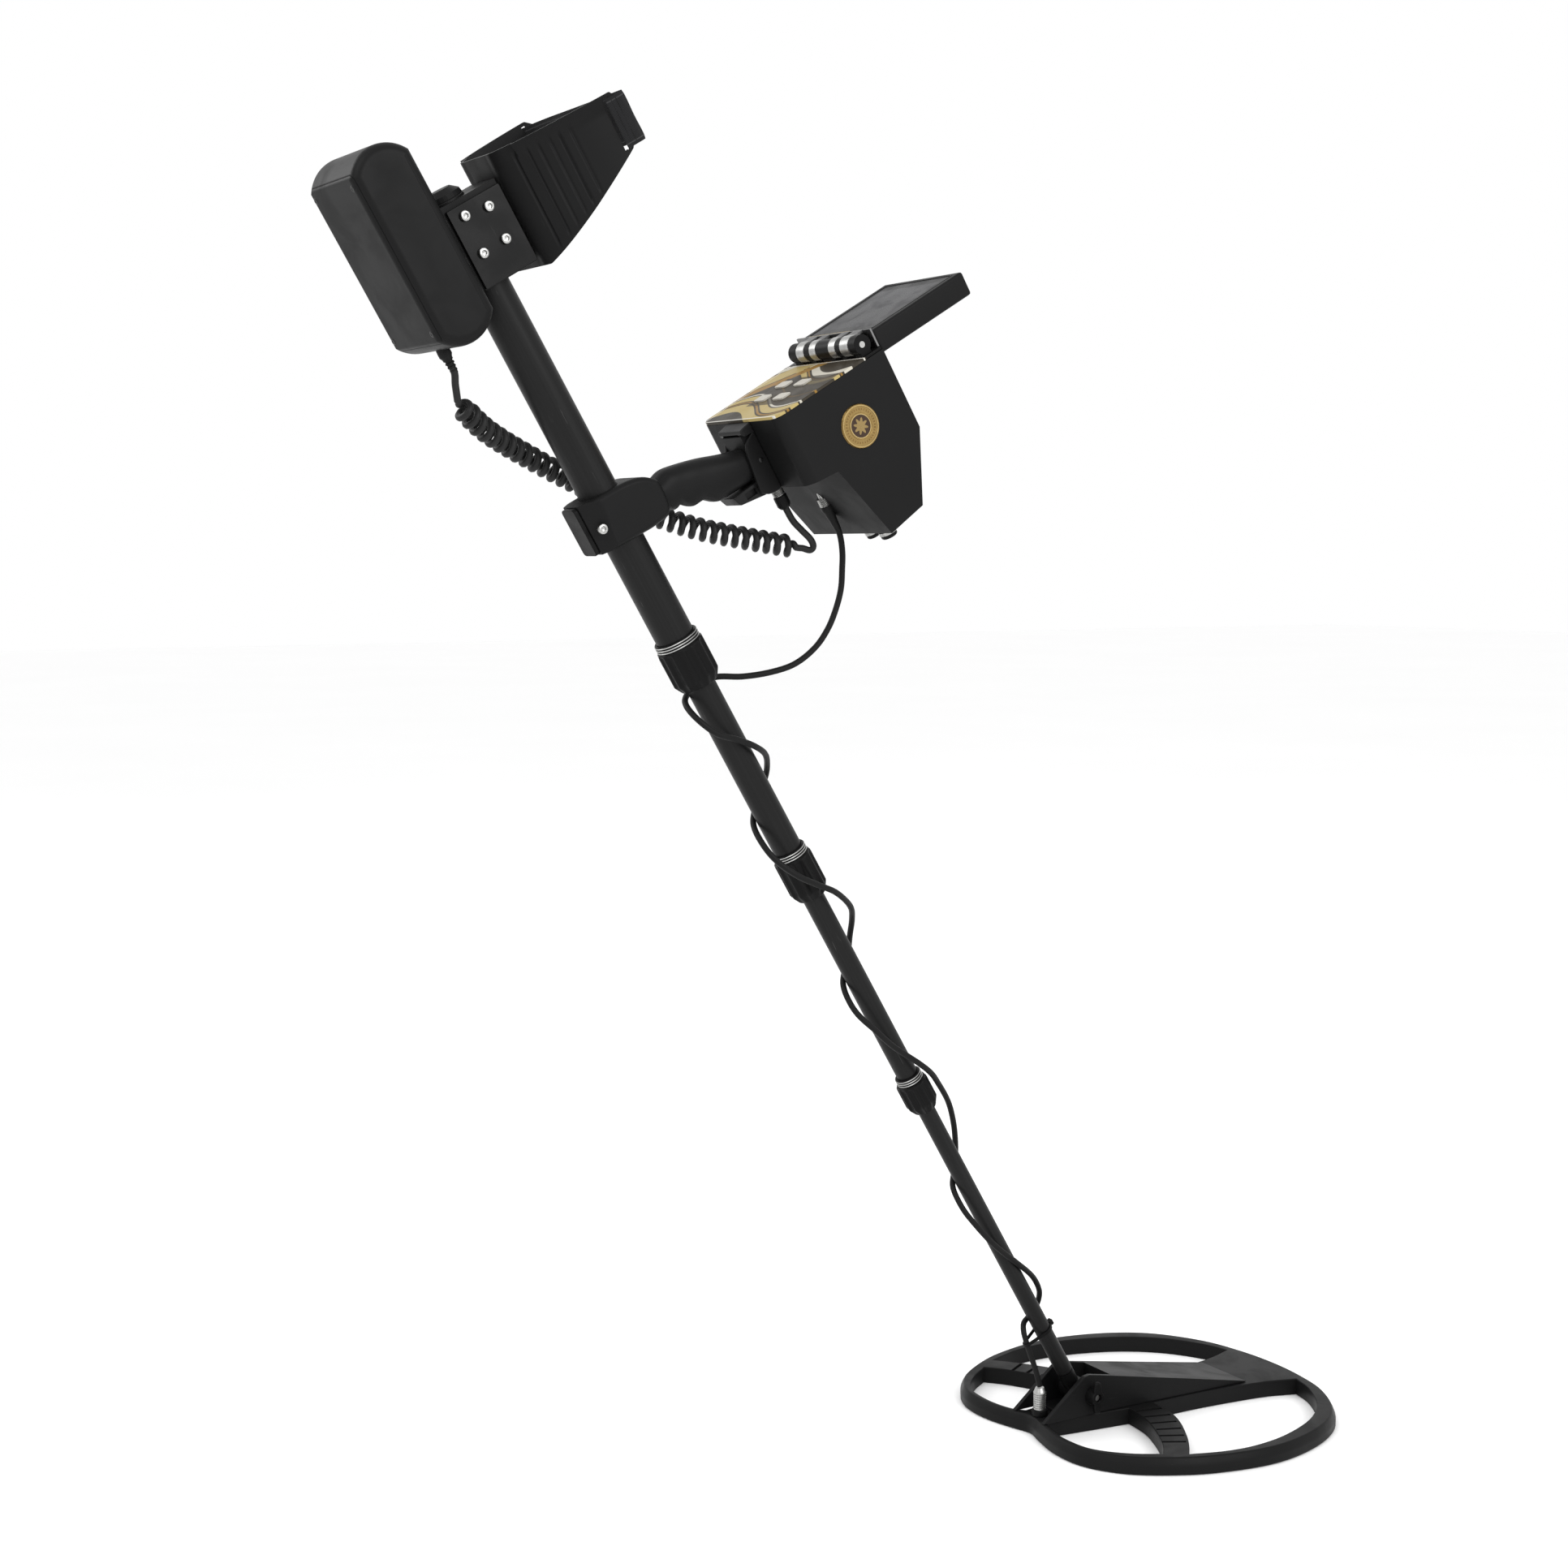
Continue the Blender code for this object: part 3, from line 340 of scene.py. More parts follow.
def woven(name):
    """Flat nylon webbing: plain weave with a ribbed selvedge."""
    look = Look(name, "webbing")
    u, y, _ = look.axes()
    weave = look.math("MULTIPLY_ADD", look.times(look.wave(u, 5200), look.wave(y, 3600)), 0.5, 0.5)
    fuzz = look.noise(1400, 4)
    look.colour(look.mix(weave, 0.004, (0.013, 0.013, 0.014)))
    look.paint(look.times(fuzz, 0.3), (0.024, 0.024, 0.025))
    edge = look.math("ABSOLUTE", look.less(u, 0.015))
    look.paint(look.within(edge, 0.0190, 0.0200, 0.0002), (0.035, 0.035, 0.036))
    look.set(Roughness=look.step(fuzz, 0.3, 0.7, 0.75, 0.95), Specular_IOR_Level=0.1)
    look.set(Sheen_Weight=0.06, Sheen_Roughness=0.5)
    look.bump(weave, 0.00025, 0.7)
    look.bump(fuzz, 0.0001, 0.5)
    return look


def keypad_print(name):
    """A glossy membrane: black with cream, gold and white ribbons sweeping over it."""
    look = Look(name)
    cream, gold, white = (0.36, 0.28, 0.11), (0.22, 0.12, 0.022), (0.46, 0.44, 0.38)
    _, y, v = look.axes()
    y = look.plus(y, look.times(look.noise(18, 1), 0.006))
    look.colour(look.mix(look.noise(300, 2), 0.010, (0.018, 0.017, 0.016)))
    height = look.less(v, look.plus(look.times(y, 0.10), look.times(look.wave(y, 46), 0.012)))
    for low, high, ink in (
        (0.166, 0.181, cream),
        (0.183, 0.1855, gold),
        (0.1875, 0.197, cream),
        (0.199, 0.2015, white),
        (0.218, 0.2205, gold),
        (0.2430, 0.2500, cream),
        (0.2515, 0.2535, gold),
        (0.2560, 0.2660, white),
    ):
        look.paint(look.within(height, low, high, 0.0005), ink)
    corner = look.plus(look.times(y, 0.9), v)
    look.paint(look.within(corner, 0.268, 0.285, 0.0006), gold)
    look.paint(look.within(corner, 0.288, 0.32, 0.0006), cream)
    window = look.times(look.within(y, -0.064, 0.030, 0.0006), look.within(v, 0.191, 0.246, 0.0006))
    look.paint(look.times(window, 0.80), (0.012, 0.011, 0.010))
    ends = look.within(look.math("ABSOLUTE", look.less(v, 0.219)), 0.0545, 0.0560, 0.0002)
    sides = look.within(look.math("ABSOLUTE", y), 0.0675, 0.0690, 0.0002)
    look.paint(look.math("MAXIMUM", ends, sides), (0.55, 0.54, 0.50))
    look.paint(look.times(look.noise(9, 3), 0.12), (0.5, 0.4, 0.25))
    look.set(Roughness=look.step(look.noise(40, 4), 0.3, 0.7, 0.34, 0.46), Specular_IOR_Level=0.06)
    look.bump(look.noise(500, 2), 0.00003, 0.3)
    return look


def foil(name):
    """A struck gold seal: rings, rays and a brown enamelled middle, with no lettering."""
    look = Look(name)
    u, _, v = look.axes()
    across, up = look.less(u, SEAL[0]), look.less(v, SEAL[1])
    angle = look.math("ARCTAN2", across, up)
    far = look.math("SQRT", look.plus(look.times(across, across), look.times(up, up)))
    band = look.within(far, 0.0128, 0.0186, 0.0002)
    rays = look.step(look.wave(angle, 36), 0.25, 0.5)
    dots = look.times(rays, look.within(far, 0.0148, 0.0168, 0.0002))
    core = look.step(far, 0.0106, 0.0110, 1.0, 0.0)
    petals = look.plus(far, look.times(look.wave(angle, 8), 0.0018))
    rosette = look.step(petals, 0.0062, 0.0066, 1, 0)
    look.colour(look.mix(look.noise(120, 3), (0.27, 0.18, 0.065), (0.19, 0.12, 0.04)))
    look.paint(look.times(band, 0.25), (0.36, 0.26, 0.11))
    look.paint(look.times(dots, 0.75), (0.16, 0.09, 0.03))
    look.paint(core, (0.035, 0.017, 0.008))
    look.paint(look.times(rosette, 0.9), (0.25, 0.17, 0.06))
    for low, high in ((0.0108, 0.0116), (0.0190, 0.0197)):
        look.paint(look.within(far, low, high, 0.0001), (0.44, 0.33, 0.15))
    look.set(Metallic=look.step(core, 0, 1, 1.0, 0.45))
    look.set(Roughness=look.step(look.noise(200, 3), 0, 1, 0.22, 0.38))
    look.bump(look.less(look.plus(rosette, band), look.times(dots, 0.8)), 0.0003, 0.8)
    return look


def window_glass(name):
    """The dark display window: grey active area, lightened along v by a painted reflection, black
    mask, soft finger marks.
    """
    look = Look(name)
    _, y, v = look.axes()
    active = look.within(y, -0.0500, 0.0500, 0.0004)
    active = look.times(active, look.within(v, 0.3150, 0.3990, 0.0004))
    # Painted reflection: the active area grows lighter towards higher v.
    grey = look.mix(look.step(v, 0.31, 0.41), (0.024, 0.024, 0.026), (0.040, 0.040, 0.043))
    cells = look.times(look.step(look.wave(y, 9000), 0.6, 1.0), 0.15)
    grey = look.mix(cells, grey, (0.07, 0.07, 0.075))
    look.colour(look.mix(active, (0.012, 0.012, 0.013), grey))
    smear = look.noise(30, 4, warp=1.0)
    look.set(Roughness=look.step(smear, 0.4, 0.75, 0.26, 0.38), Specular_IOR_Level=0.05)
    look.bump(look.noise(60, 2), 0.00001, 0.2)
    return look


def simple(name, dark, light, rough, grain, depth=0.00004, metallic=0.0, slot=None):
    """One finely grained surface between two colours."""
    look = Look(name, slot)
    fine = look.noise(grain, 3)
    look.colour(look.mix(fine, dark, light))
    look.set(Roughness=look.step(look.noise(40, 3), 0.3, 0.7, rough - 0.05, rough + 0.08))
    look.set(Metallic=metallic)
    look.bump(fine, depth, 0.5)
    return look


PLASTIC = moulded("plastic_satin")
# A lighter copy of the satin plastic: its lighter tone is painted sheen, and its higher gloss is
# real.
PLASTIC_PAINTED_SHEEN = moulded("plastic_painted_sheen", 0.0080, 0.38, gloss=0.12)
PLASTIC_DARK = moulded("plastic_dark", 0.0036, 0.36, 1800)
COIL_PLASTIC = moulded("coil_plastic", 0.0055, 0.40, 2200, level=True)
PAINT = enamel("tube_enamel")
PLATE_PAINT = moulded("plate_enamel", 0.0030, 0.28, 900, 0.00002, 0.10, "painted_tube")
JACKET = jacket("cable_jacket")
CURL_JACKET = jacket("curl_jacket", 0.013, 0.42)
STEEL = metal("steel_brushed", (0.42, 0.42, 0.41), 0.30)
BLACK_STEEL = metal("screw_blacked", (0.035, 0.035, 0.035), 0.40)
LEAF_METAL = metal("leaf_metal", (0.17, 0.17, 0.17), 0.40, (900, 30, 900))
WEBBING = woven("strap_webbing")
PRINT = keypad_print("keypad_print")
FOIL = foil("seal_gold")
GLASS = window_glass("display_window")
KEY_RUBBER = simple("key_silicone", (0.36, 0.34, 0.29), (0.46, 0.44, 0.39), 0.42, 500)
BOARD = simple("board_laminate", (0.010, 0.09, 0.03), (0.02, 0.16, 0.06), 0.4, 260)
CELL = simple("cell_sleeve", (0.07, 0.11, 0.26), (0.13, 0.18, 0.36), 0.35, 80)
GOLD_STRIP = simple(
    "gold_print", (0.52, 0.35, 0.09), (0.84, 0.66, 0.30), 0.28, 160, 0.00002, 0.6, "gold_foil"
)


# ---------- making pieces ----------
def face_outwards(mesh):
    work = bmesh.new()
    work.from_mesh(mesh)
    bmesh.ops.recalc_face_normals(work, faces=work.faces)
    work.to_mesh(mesh)
    work.free()


def piece(name, mesh, look, body="frame", stands_for=(), place=SHAFT, angle=42):
    """A finished mesh, listed in millimetres in the shaft or coil frame, riding on a body."""
    if place is not None:
        mesh.transform(place @ SCALE)
    face_outwards(mesh)
    mesh.shade_smooth()
    mesh.set_sharp_from_angle(angle=radians(angle))
    mesh.materials.clear()
    mesh.materials.append(look.material)
    made = placed(name, mesh)
    made.modifiers.new("weigh", "WEIGHTED_NORMAL").keep_sharp = True
    if body:
        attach(made, body)
    if stands_for:
        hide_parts(*([stands_for] if isinstance(stands_for, str) else stands_for))
    return made


def skin(rings, cyclic=False):
    """Rings of points joined into a surface. Its two ends are capped, or joined if cyclic."""
    mesh = bpy.data.meshes.new("skin")
    size, count = len(rings[0]), len(rings)
    points = [tuple(p) for ring in rings for p in ring]
    faces = []
    for row in range(count if cyclic else count - 1):
        after = (row + 1) % count
        for n in range(size):
            m = (n + 1) % size
            faces.append((row * size + n, row * size + m, after * size + m, after * size + n))
    if not cyclic:
        faces += [tuple(range(size))[::-1], tuple(range((count - 1) * size, count * size))]
    mesh.from_pydata(points, [], faces)
    return mesh


def axis_point(axis, along, a, b):
    return {"u": (along, a, b), "y": (a, along, b), "v": (a, b, along)}[axis]


def turned(profile, axis="u", centre=(0, 0, 0), sides=48, shape=None, hollow=False):
    """A turned shape from (distance, radius) pairs. shape changes a radius by its angle."""
    rings = []
    for along, radius in profile:
        ring = []
        for n in range(sides):
            turn = tau * n / sides
            r = max(radius, 0.02) if shape is None else shape(along, radius, turn)
            spot = axis_point(axis, along, r * cos(turn), r * sin(turn))
            ring.append(tuple(a + b for a, b in zip(spot, centre)))
        rings.append(ring)
    return skin(rings, cyclic=hollow)


def turned_piece(
    name,
    profile,
    look,
    body="frame",
    axis="u",
    centre=(0, 0, 0),
    stands_for=(),
    sides=40,
    place=SHAFT,
):
    return piece(name, turned(profile, axis, centre, sides), look, body, stands_for, place)


def eased(a, b, go, come, t):
    """The point at share t of a curve that leaves a along go and reaches b along come."""
    h1, h2 = 2 * t**3 - 3 * t**2 + 1, t**3 - 2 * t**2 + t
    h3, h4 = -2 * t**3 + 3 * t**2, t**3 - t**2
    return a * h1 + go * h2 + b * h3 + come * h4


def curve_through(points, per=6, cyclic=True):
    """A smooth outline. A third entry in a point keeps that corner sharp."""
    count = len(points)
    spots = [Vector(p[:2]) for p in points]
    sharp = [len(p) > 2 for p in points]
    made = []
    for n in range(count if cyclic else count - 1):
        a, b = spots[n], spots[(n + 1) % count]
        before = spots[n - 1] if cyclic or n else a
        after = spots[(n + 2) % count] if cyclic or n < count - 2 else b
        go = (b - a) if sharp[n] else (b - before) / 2
        come = (b - a) if sharp[(n + 1) % count] else (after - a) / 2
        made += [tuple(eased(a, b, go, come, step / per)) for step in range(per)]
    if not cyclic:
        made.append(tuple(spots[-1]))
    return made


def neighbours(points):
    """Each point of a closed outline, with the ones before and after it."""
    return zip(points[-1:] + points[:-1], points, points[1:] + points[:1])


TURN = {
    "side": lambda a, b, c: (a, c, b),
    "across": lambda a, b, c: (c, a, b),
    "level": lambda a, b, c: (a, b, c),
}


def plate(loops, levels, plane="side", hole_levels=None):
    """A slab from an outline and its holes. levels are (distance into the material, height)."""
    work = bmesh.new()
    first, last = [], []
    for index, loop in enumerate(loops):
        points = [Vector(p[:2]) for p in loop]
        area = sum(a.x * b.y - b.x * a.y for _, a, b in neighbours(points))
        if (area < 0) == (index == 0):
            points.reverse()
        steps = levels if index == 0 or hole_levels is None else hole_levels
        inward = []
        for before, at, after in neighbours(points):
            one, two = (at - before).normalized(), (after - at).normalized()
            one, two = Vector((-one.y, one.x)), Vector((-two.y, two.x))
            inward.append((one + two) / max(1 + one.dot(two), 0.6))
        rings = [
            [work.verts.new(TURN[plane](*(p + n * inset), height)) for p, n in zip(points, inward)]
            for inset, height in steps
        ]
        for low, high in zip(rings, rings[1:]):
            for n in range(len(low)):
                m = (n + 1) % len(low)
                work.faces.new((low[n], low[m], high[m], high[n]))
        first += [work.edges.get((a, b)) for _, a, b in neighbours(rings[0])]
        last += [work.edges.get((a, b)) for _, a, b in neighbours(rings[-1])]
    bmesh.ops.triangle_fill(work, edges=first, use_beauty=True)
    bmesh.ops.triangle_fill(work, edges=last, use_beauty=True)
    mesh = bpy.data.meshes.new("plate")
    work.to_mesh(mesh)
    work.free()
    return mesh


def round_levels(low, high, radius, steps=4, bottom=True):
    """Levels of a slab with rounded edges."""
    arc = [pi / 2 * n / steps for n in range(steps + 1)]
    lower = [(radius * (1 - sin(t)), low + radius * (1 - cos(t))) for t in arc]
    upper = [(radius * (1 - cos(t)), high - radius * (1 - sin(t))) for t in arc]
    return (lower if bottom else [(0, low)]) + upper


def corners_rounded(points, radius, steps=4):
    """A polygon with its corners rounded, in millimetres."""
    made = []
    for before, at, after in neighbours([Vector(p) for p in points]):
        back, ahead = before - at, after - at
        reach = min(radius, back.length * 0.45, ahead.length * 0.45)
        start, end = at + back.normalized() * reach, at + ahead.normalized() * reach
        for n in range(steps + 1):
            t = n / steps
            made.append(tuple(start * (1 - t) ** 2 + at * 2 * t * (1 - t) + end * t**2))
    return made


def box_outline(a, b):
    """A rectangle between two pairs of sides."""
    return [(a[0], b[0]), (a[1], b[0]), (a[1], b[1]), (a[0], b[1])]


def slab(outline, corner, steps, low, high, edge, plane="side"):
    """A plate with rounded corners and rounded edges, between two heights."""
    return plate([corners_rounded(outline, corner, steps)], round_levels(low, high, edge, 3), plane)


def rounded(made, width, segments, limit):
    """Rounds a piece's edges sharper than limit, then weighs its normals again."""
    made.modifiers.clear()
    bevel = made.modifiers.new("round", "BEVEL")
    bevel.width, bevel.segments = width * MM, segments
    bevel.limit_method, bevel.angle_limit = "ANGLE", radians(limit)
    made.modifiers.new("weigh", "WEIGHTED_NORMAL").keep_sharp = True


def softened(node, look, width, body="frame", segments=3, limit=30):
    """A CAD node's own shape with its edges rounded."""
    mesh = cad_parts[node].data.copy()
    work = bmesh.new()
    work.from_mesh(mesh)
    bmesh.ops.remove_doubles(work, verts=work.verts, dist=0.00002)
    bmesh.ops.dissolve_limit(
        work, angle_limit=radians(1.5), verts=work.verts, edges=work.edges
    )
    work.to_mesh(mesh)
    work.free()
    rounded(piece(node + "_skin", mesh, look, body, node, None, 60), width, segments, limit)


def carve(made, mesh, place=SHAFT):
    """Cuts a shape out of a piece that has only its weighted normals, and keeps the result."""
    mesh.transform(place @ SCALE)
    face_outwards(mesh)
    tool = placed("tool", mesh)
    weigh = made.modifiers["weigh"]
    weigh.show_viewport = False
    change = made.modifiers.new("carve", "BOOLEAN")
    change.operation, change.object, change.solver = "DIFFERENCE", tool, "EXACT"
    shape = made.evaluated_get(bpy.context.evaluated_depsgraph_get())
    result = bpy.data.meshes.new_from_object(shape)
    made.modifiers.remove(change)
    weigh.show_viewport = True
    result.set_sharp_from_angle(angle=radians(42))
    made.data = result
    bpy.data.objects.remove(tool, do_unlink=True)


def slot_block(low, high):
    """A plain box used as a cutter, in millimetres."""
    outline = box_outline((low[0], high[0]), (low[1], high[1]))
    return plate([outline], [(0, low[2]), (0, high[2])], "level")


def dress(look, *nodes):
    """CAD nodes that keep their shape and take a finished material."""
    for node in nodes:
        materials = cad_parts[node].data.materials
        materials.clear()
        materials.append(look.material)


def smooth_route(points, count):
    """Even points on a smooth curve through given ones."""
    spots = [Vector(p) for p in points]
    ends = [2 * spots[0] - spots[1], *spots, 2 * spots[-1] - spots[-2]]
    fine = []
    for before, a, b, after in zip(ends, ends[1:], ends[2:], ends[3:]):
        fine += [eased(a, b, (b - before) / 2, (after - a) / 2, n / 12) for n in range(12)]
    fine.append(spots[-1])
    far = [0.0]
    for a, b in zip(fine, fine[1:]):
        far.append(far[-1] + (b - a).length)
    even, at = [], 0
    for n in range(count):
        want = far[-1] * n / (count - 1)
        while at < len(far) - 2 and far[at + 1] < want:
            at += 1
        share = (want - far[at]) / (far[at + 1] - far[at])
        even.append(fine[at].lerp(fine[at + 1], min(share, 1.0)))
    return even


def travelled(path):
    """Each point of a path with two directions square to it, carried along without twist."""
    frames, side = [], None
    for n, at in enumerate(path):
        ahead = (path[min(n + 1, len(path) - 1)] - path[max(n - 1, 0)]).normalized()
        if side is None:
            side = ahead.orthogonal().normalized()
        side = (side - ahead * side.dot(ahead)).normalized()
        frames.append((at, side, ahead.cross(side)))
    return frames


def hose(path, radius, sides):
    """A round tube's mesh along a path."""
    turns = [tau * k / sides for k in range(sides)]
    rings = []
    for at, side, over in travelled(path):
        rings.append([at + side * radius * cos(t) + over * radius * sin(t) for t in turns])
    return skin(rings)


# ---------- shaft ----------
def tube_profile(number):
    top, end = TUBE_TOPS[number], TUBE_ENDS[number]
    r, bore = TUBE_RADII[number], TUBE_BORES[number]
    shape = [(top, bore), (top, r - 0.4), (top + 0.4, r)]
    if number:
        guide = TUBE_BORES[number - 1] - 0.3
        shape = [(top, bore), (top, guide - 0.5), (top + 0.5, guide), (top + 12, guide)]
        shape.append((top + 12.5, r))
    return shape + [(end - 0.6, r), (end, r - 0.6), (end, bore)]


def collar(number):
    """A fluted twist collar with three bright rings round its upper end."""
    top, bottom, radius = COLLARS[number]
    upper, lower = TUBE_RADII[number] + 0.4, TUBE_RADII[number + 1] + 0.4
    stop, flutes = TUBE_ENDS[number] + 1, COLLAR_FLUTES[number]
    name = f"collar_{number + 1}"

    def fluted(along, r, turn):
        if r < radius - 1.4 or r <= upper + 2:
            return r
        depth = 2.2 * (1 - abs(cos(turn * flutes / 2)) ** 3)
        return r - depth * (min(1, (along - top - 9) / 3) if along < bottom - 7 else 0.8)

    shape = [(top, upper), (top, upper + 1.6), (top + 0.4, upper + 2.0), (top + 8, upper + 2.0)]
    shape += [(top + 9, radius - 1.2), (top + 10, radius - 0.3), (top + 12, radius)]
    shape += [(top + 16, radius), (bottom - 12, radius), (bottom - 9, radius)]
    shape += [(bottom - 7.4, radius - 0.5), (bottom - 0.8, radius - 4.3), (bottom, radius - 5.0)]
    shape += [(bottom, lower), (stop, lower), (stop, upper)]
    mesh = turned(shape, sides=flutes * 12, shape=fluted, hollow=True)
    piece(f"{name}_fluted", mesh, PLASTIC_DARK, f"{name}_body", f"twist_{name}")
    low, high = upper + 1.6, upper + 2.7
    for ring, offset in enumerate(COLLAR_RINGS, 1):
        at = top + offset
        shape = [(at, low), (at, high - 0.3), (at + 0.3, high), (at + 0.8, high)]
        shape += [(at + 1.1, high - 0.3), (at + 1.1, low)]
        piece(f"{name}_ring_{ring}", turned(shape, hollow=True), STEEL, f"{name}_body")


for number, (node, body) in enumerate(TUBES):
    tube_mesh = turned(tube_profile(number), sides=72, hollow=True)
    piece(node + "_drawn", tube_mesh, PAINT, body, node)
for number in range(len(COLLARS)):
    collar(number)
dress(PLASTIC, "upper_tube_plug")


# ---------- bracket, battery box and arm cuff ----------
def socket_screw(name, spot, y, stands_for):
    """A socket-head screw across the shaft: domed rim, hexagonal recess and shank."""
    u, v = spot
    sides, sixth = 24, pi / 3

    def ring(r, depth, six=False):
        made = []
        for n in range(sides):
            turn = tau * n / sides
            reach = r / cos((turn + sixth / 2) % sixth - sixth / 2) if six else r
            made.append((u + reach * cos(turn), depth, v + reach * sin(turn)))
        return made

    rings = [ring(2.6, 26), ring(2.6, y), ring(SCREW_R, y), ring(SCREW_R, y - 2.2)]
    rings += [ring(SCREW_R - 0.3, y - 2.8), ring(SCREW_R - 0.9, y - 3.2)]
    rings += [ring(2.5, y - 3.2, True), ring(2.2, y - 2.9, True)]
    rings += [ring(2.2, y - 1.2, True), ring(0.05, y - 0.9)]
    piece(name, skin(rings), STEEL, stands_for=stands_for)


for number, spot in enumerate(BRACKET_BOLTS, 1):
    socket_screw(f"bracket_screw_{number}", spot, -28.8, f"bracket_bolt_{number}")
socket_screw("clamp_screw", CLAMP_BOLT, -24.3, "clamp_bolt")
softened("bracket_block", PLASTIC, 1.2)
for side, low, high in (("right", -28.5, -25.3), ("left", 25.3, 28.5)):
    mesh = slab(box_outline((13, 87), (-16, 41.5)), 1.5, 4, low, high, 0.5)
    piece(f"bracket_cheek_{side}", mesh, PLATE_PAINT, stands_for=f"bracket_plate_{side}")


def battery_box():
    """A case with bulging ends and soft edges, split from its lid along a fine seam."""
    low, high, bulge, ends = -88.0, -27.0, 16.5, (100.0, -50.0)
    chord, middle = (high - low) / 2, (high + low) / 2
    radius = (chord**2 + bulge**2) / (2 * bulge)
    sweep = asin(chord / radius)
    outline = []
    for end, sign in zip(ends, (1, -1)):
        for step in range(25):
            turn = sweep * (step / 12 - 1) * sign
            u = end + sign * (bulge - radius + radius * cos(turn))
            outline.append((u, middle + radius * sin(turn)))
    for name, node, below, above in (
        ("battery_shell", "battery_case", -100, -85.2),
        ("battery_cover", "battery_lid", -85.5, -10),
    ):
        mesh = plate([outline], round_levels(-BATTERY_HALF_WIDTH, BATTERY_HALF_WIDTH, 9.0, 8))
        made = piece(name, mesh, PLASTIC, stands_for=node, angle=50)
        carve(made, slot_block((-90, -70, below), (140, 70, above)))


battery_box()
dress(CELL, "battery_cells")
for number, (u, y) in enumerate([(u, y) for u in (-43, 93) for y in (-43, 43)], 1):
    head = [(-88.1, ON_AXIS), (-88.1, 1.3), (-88.35, 1.6), (-88.35, 2.6), (-88.0, 3.0)]
    head += [(-87.0, 3.0), (-87.0, ON_AXIS)]
    stands_for = f"battery_lid_screw_{number}"
    turned_piece(
        f"cover_screw_{number}", head, BLACK_STEEL, "frame", "v", (u, y, 0), stands_for, 24
    )


def cuff():
    """A flaring trough with ribbed sides, a turned-out rear edge and slots for its strap."""
    wall = [(0, 45), (20, 45), (33, 46.5), (50, 62), (64, 86), (74, 114), (80, 138), (82, 155)]
    half = curve_through(wall, 36, cyclic=False)
    section = [(-y, v) for y, v in half[:0:-1]] + half
    trim_rear = ((40, -12), (148, -12), (154, -6), (156, -5))
    trim_front = ((40, 93), (48, 95), (100, 67), (148, 40), (154, 32), (156, 31))

    def at(table, v):
        for (v0, u0), (v1, u1) in zip(table, table[1:]):
            if v <= v1:
                return u0 + (u1 - u0) * max(0.0, (v - v0) / (v1 - v0))
        return table[-1][1]

    grooves = (58, 68, 77, 87, 96, 106)
    columns = 36
    outer, inner = [], []
    for n, (y, v) in enumerate(section):
        a = Vector(section[max(n - 1, 0)])
        b = Vector(section[min(n + 1, len(section) - 1)])
        normal = Vector(((b - a).y, -(b - a).x)).normalized()
        v = min(v, 154)
        low, high = at(trim_rear, v), at(trim_front, v)
        dip = 1.3 * max(max(0.0, 1 - abs(v - g) / 1.3) ** 0.5 for g in grooves)
        row, under = [], []
        for k in range(columns + 1):
            t = k / columns
            u = low + (high - low) * t
            flare = 6.0 * max(0.0, 1 - (u + 12) / 16) ** 2 if v > 60 else 0.0
            fade = min(1.0, max(0.0, (u + 4) / 3), max(0.0, (high - u - 4) / 3))
            push = normal * (flare - dip * fade)
            base = normal * (flare - 3.0)
            row.append((u, y + push.x, v + push.y))
            under.append((u, y + base.x, v + base.y))
        outer.append(row)
        inner.append(under)

    def in_slot(n, k):
        u, y, v = outer[n][k]
        u2, _, v2 = outer[n + 1][k + 1]
        return abs(y) > 70 and 140.5 < (v + v2) / 2 < 146.2 and -9.2 < (u + u2) / 2 < 39.2

    rows, width = len(outer), columns + 1
    points = [p for row in outer + inner for p in row]
    offset = rows * width
    present = {(n, k) for n in range(rows - 1) for k in range(columns) if not in_slot(n, k)}
    faces = []
    for n, k in present:
        a, d = n * width + k, (n + 1) * width + k
        b, c = a + 1, d + 1
        faces.append((a, b, c, d))
        faces.append((d + offset, c + offset, b + offset, a + offset))
        beside = {(n - 1, k): (a, b), (n + 1, k): (c, d), (n, k - 1): (d, a), (n, k + 1): (b, c)}
        for spot, (p, q) in beside.items():
            if spot not in present:
                faces.append((q, p, p + offset, q + offset))
    mesh = bpy.data.meshes.new("cuff")
    mesh.from_pydata(points, [], faces)
    work = bmesh.new()
    work.from_mesh(mesh)
    loose = [v for v in work.verts if not v.link_faces]
    bmesh.ops.delete(work, geom=loose, context="VERTS")
    work.to_mesh(mesh)
    work.free()
    piece("arm_cuff_ribbed", mesh, PLASTIC, stands_for="arm_cuff", angle=50)


cuff()


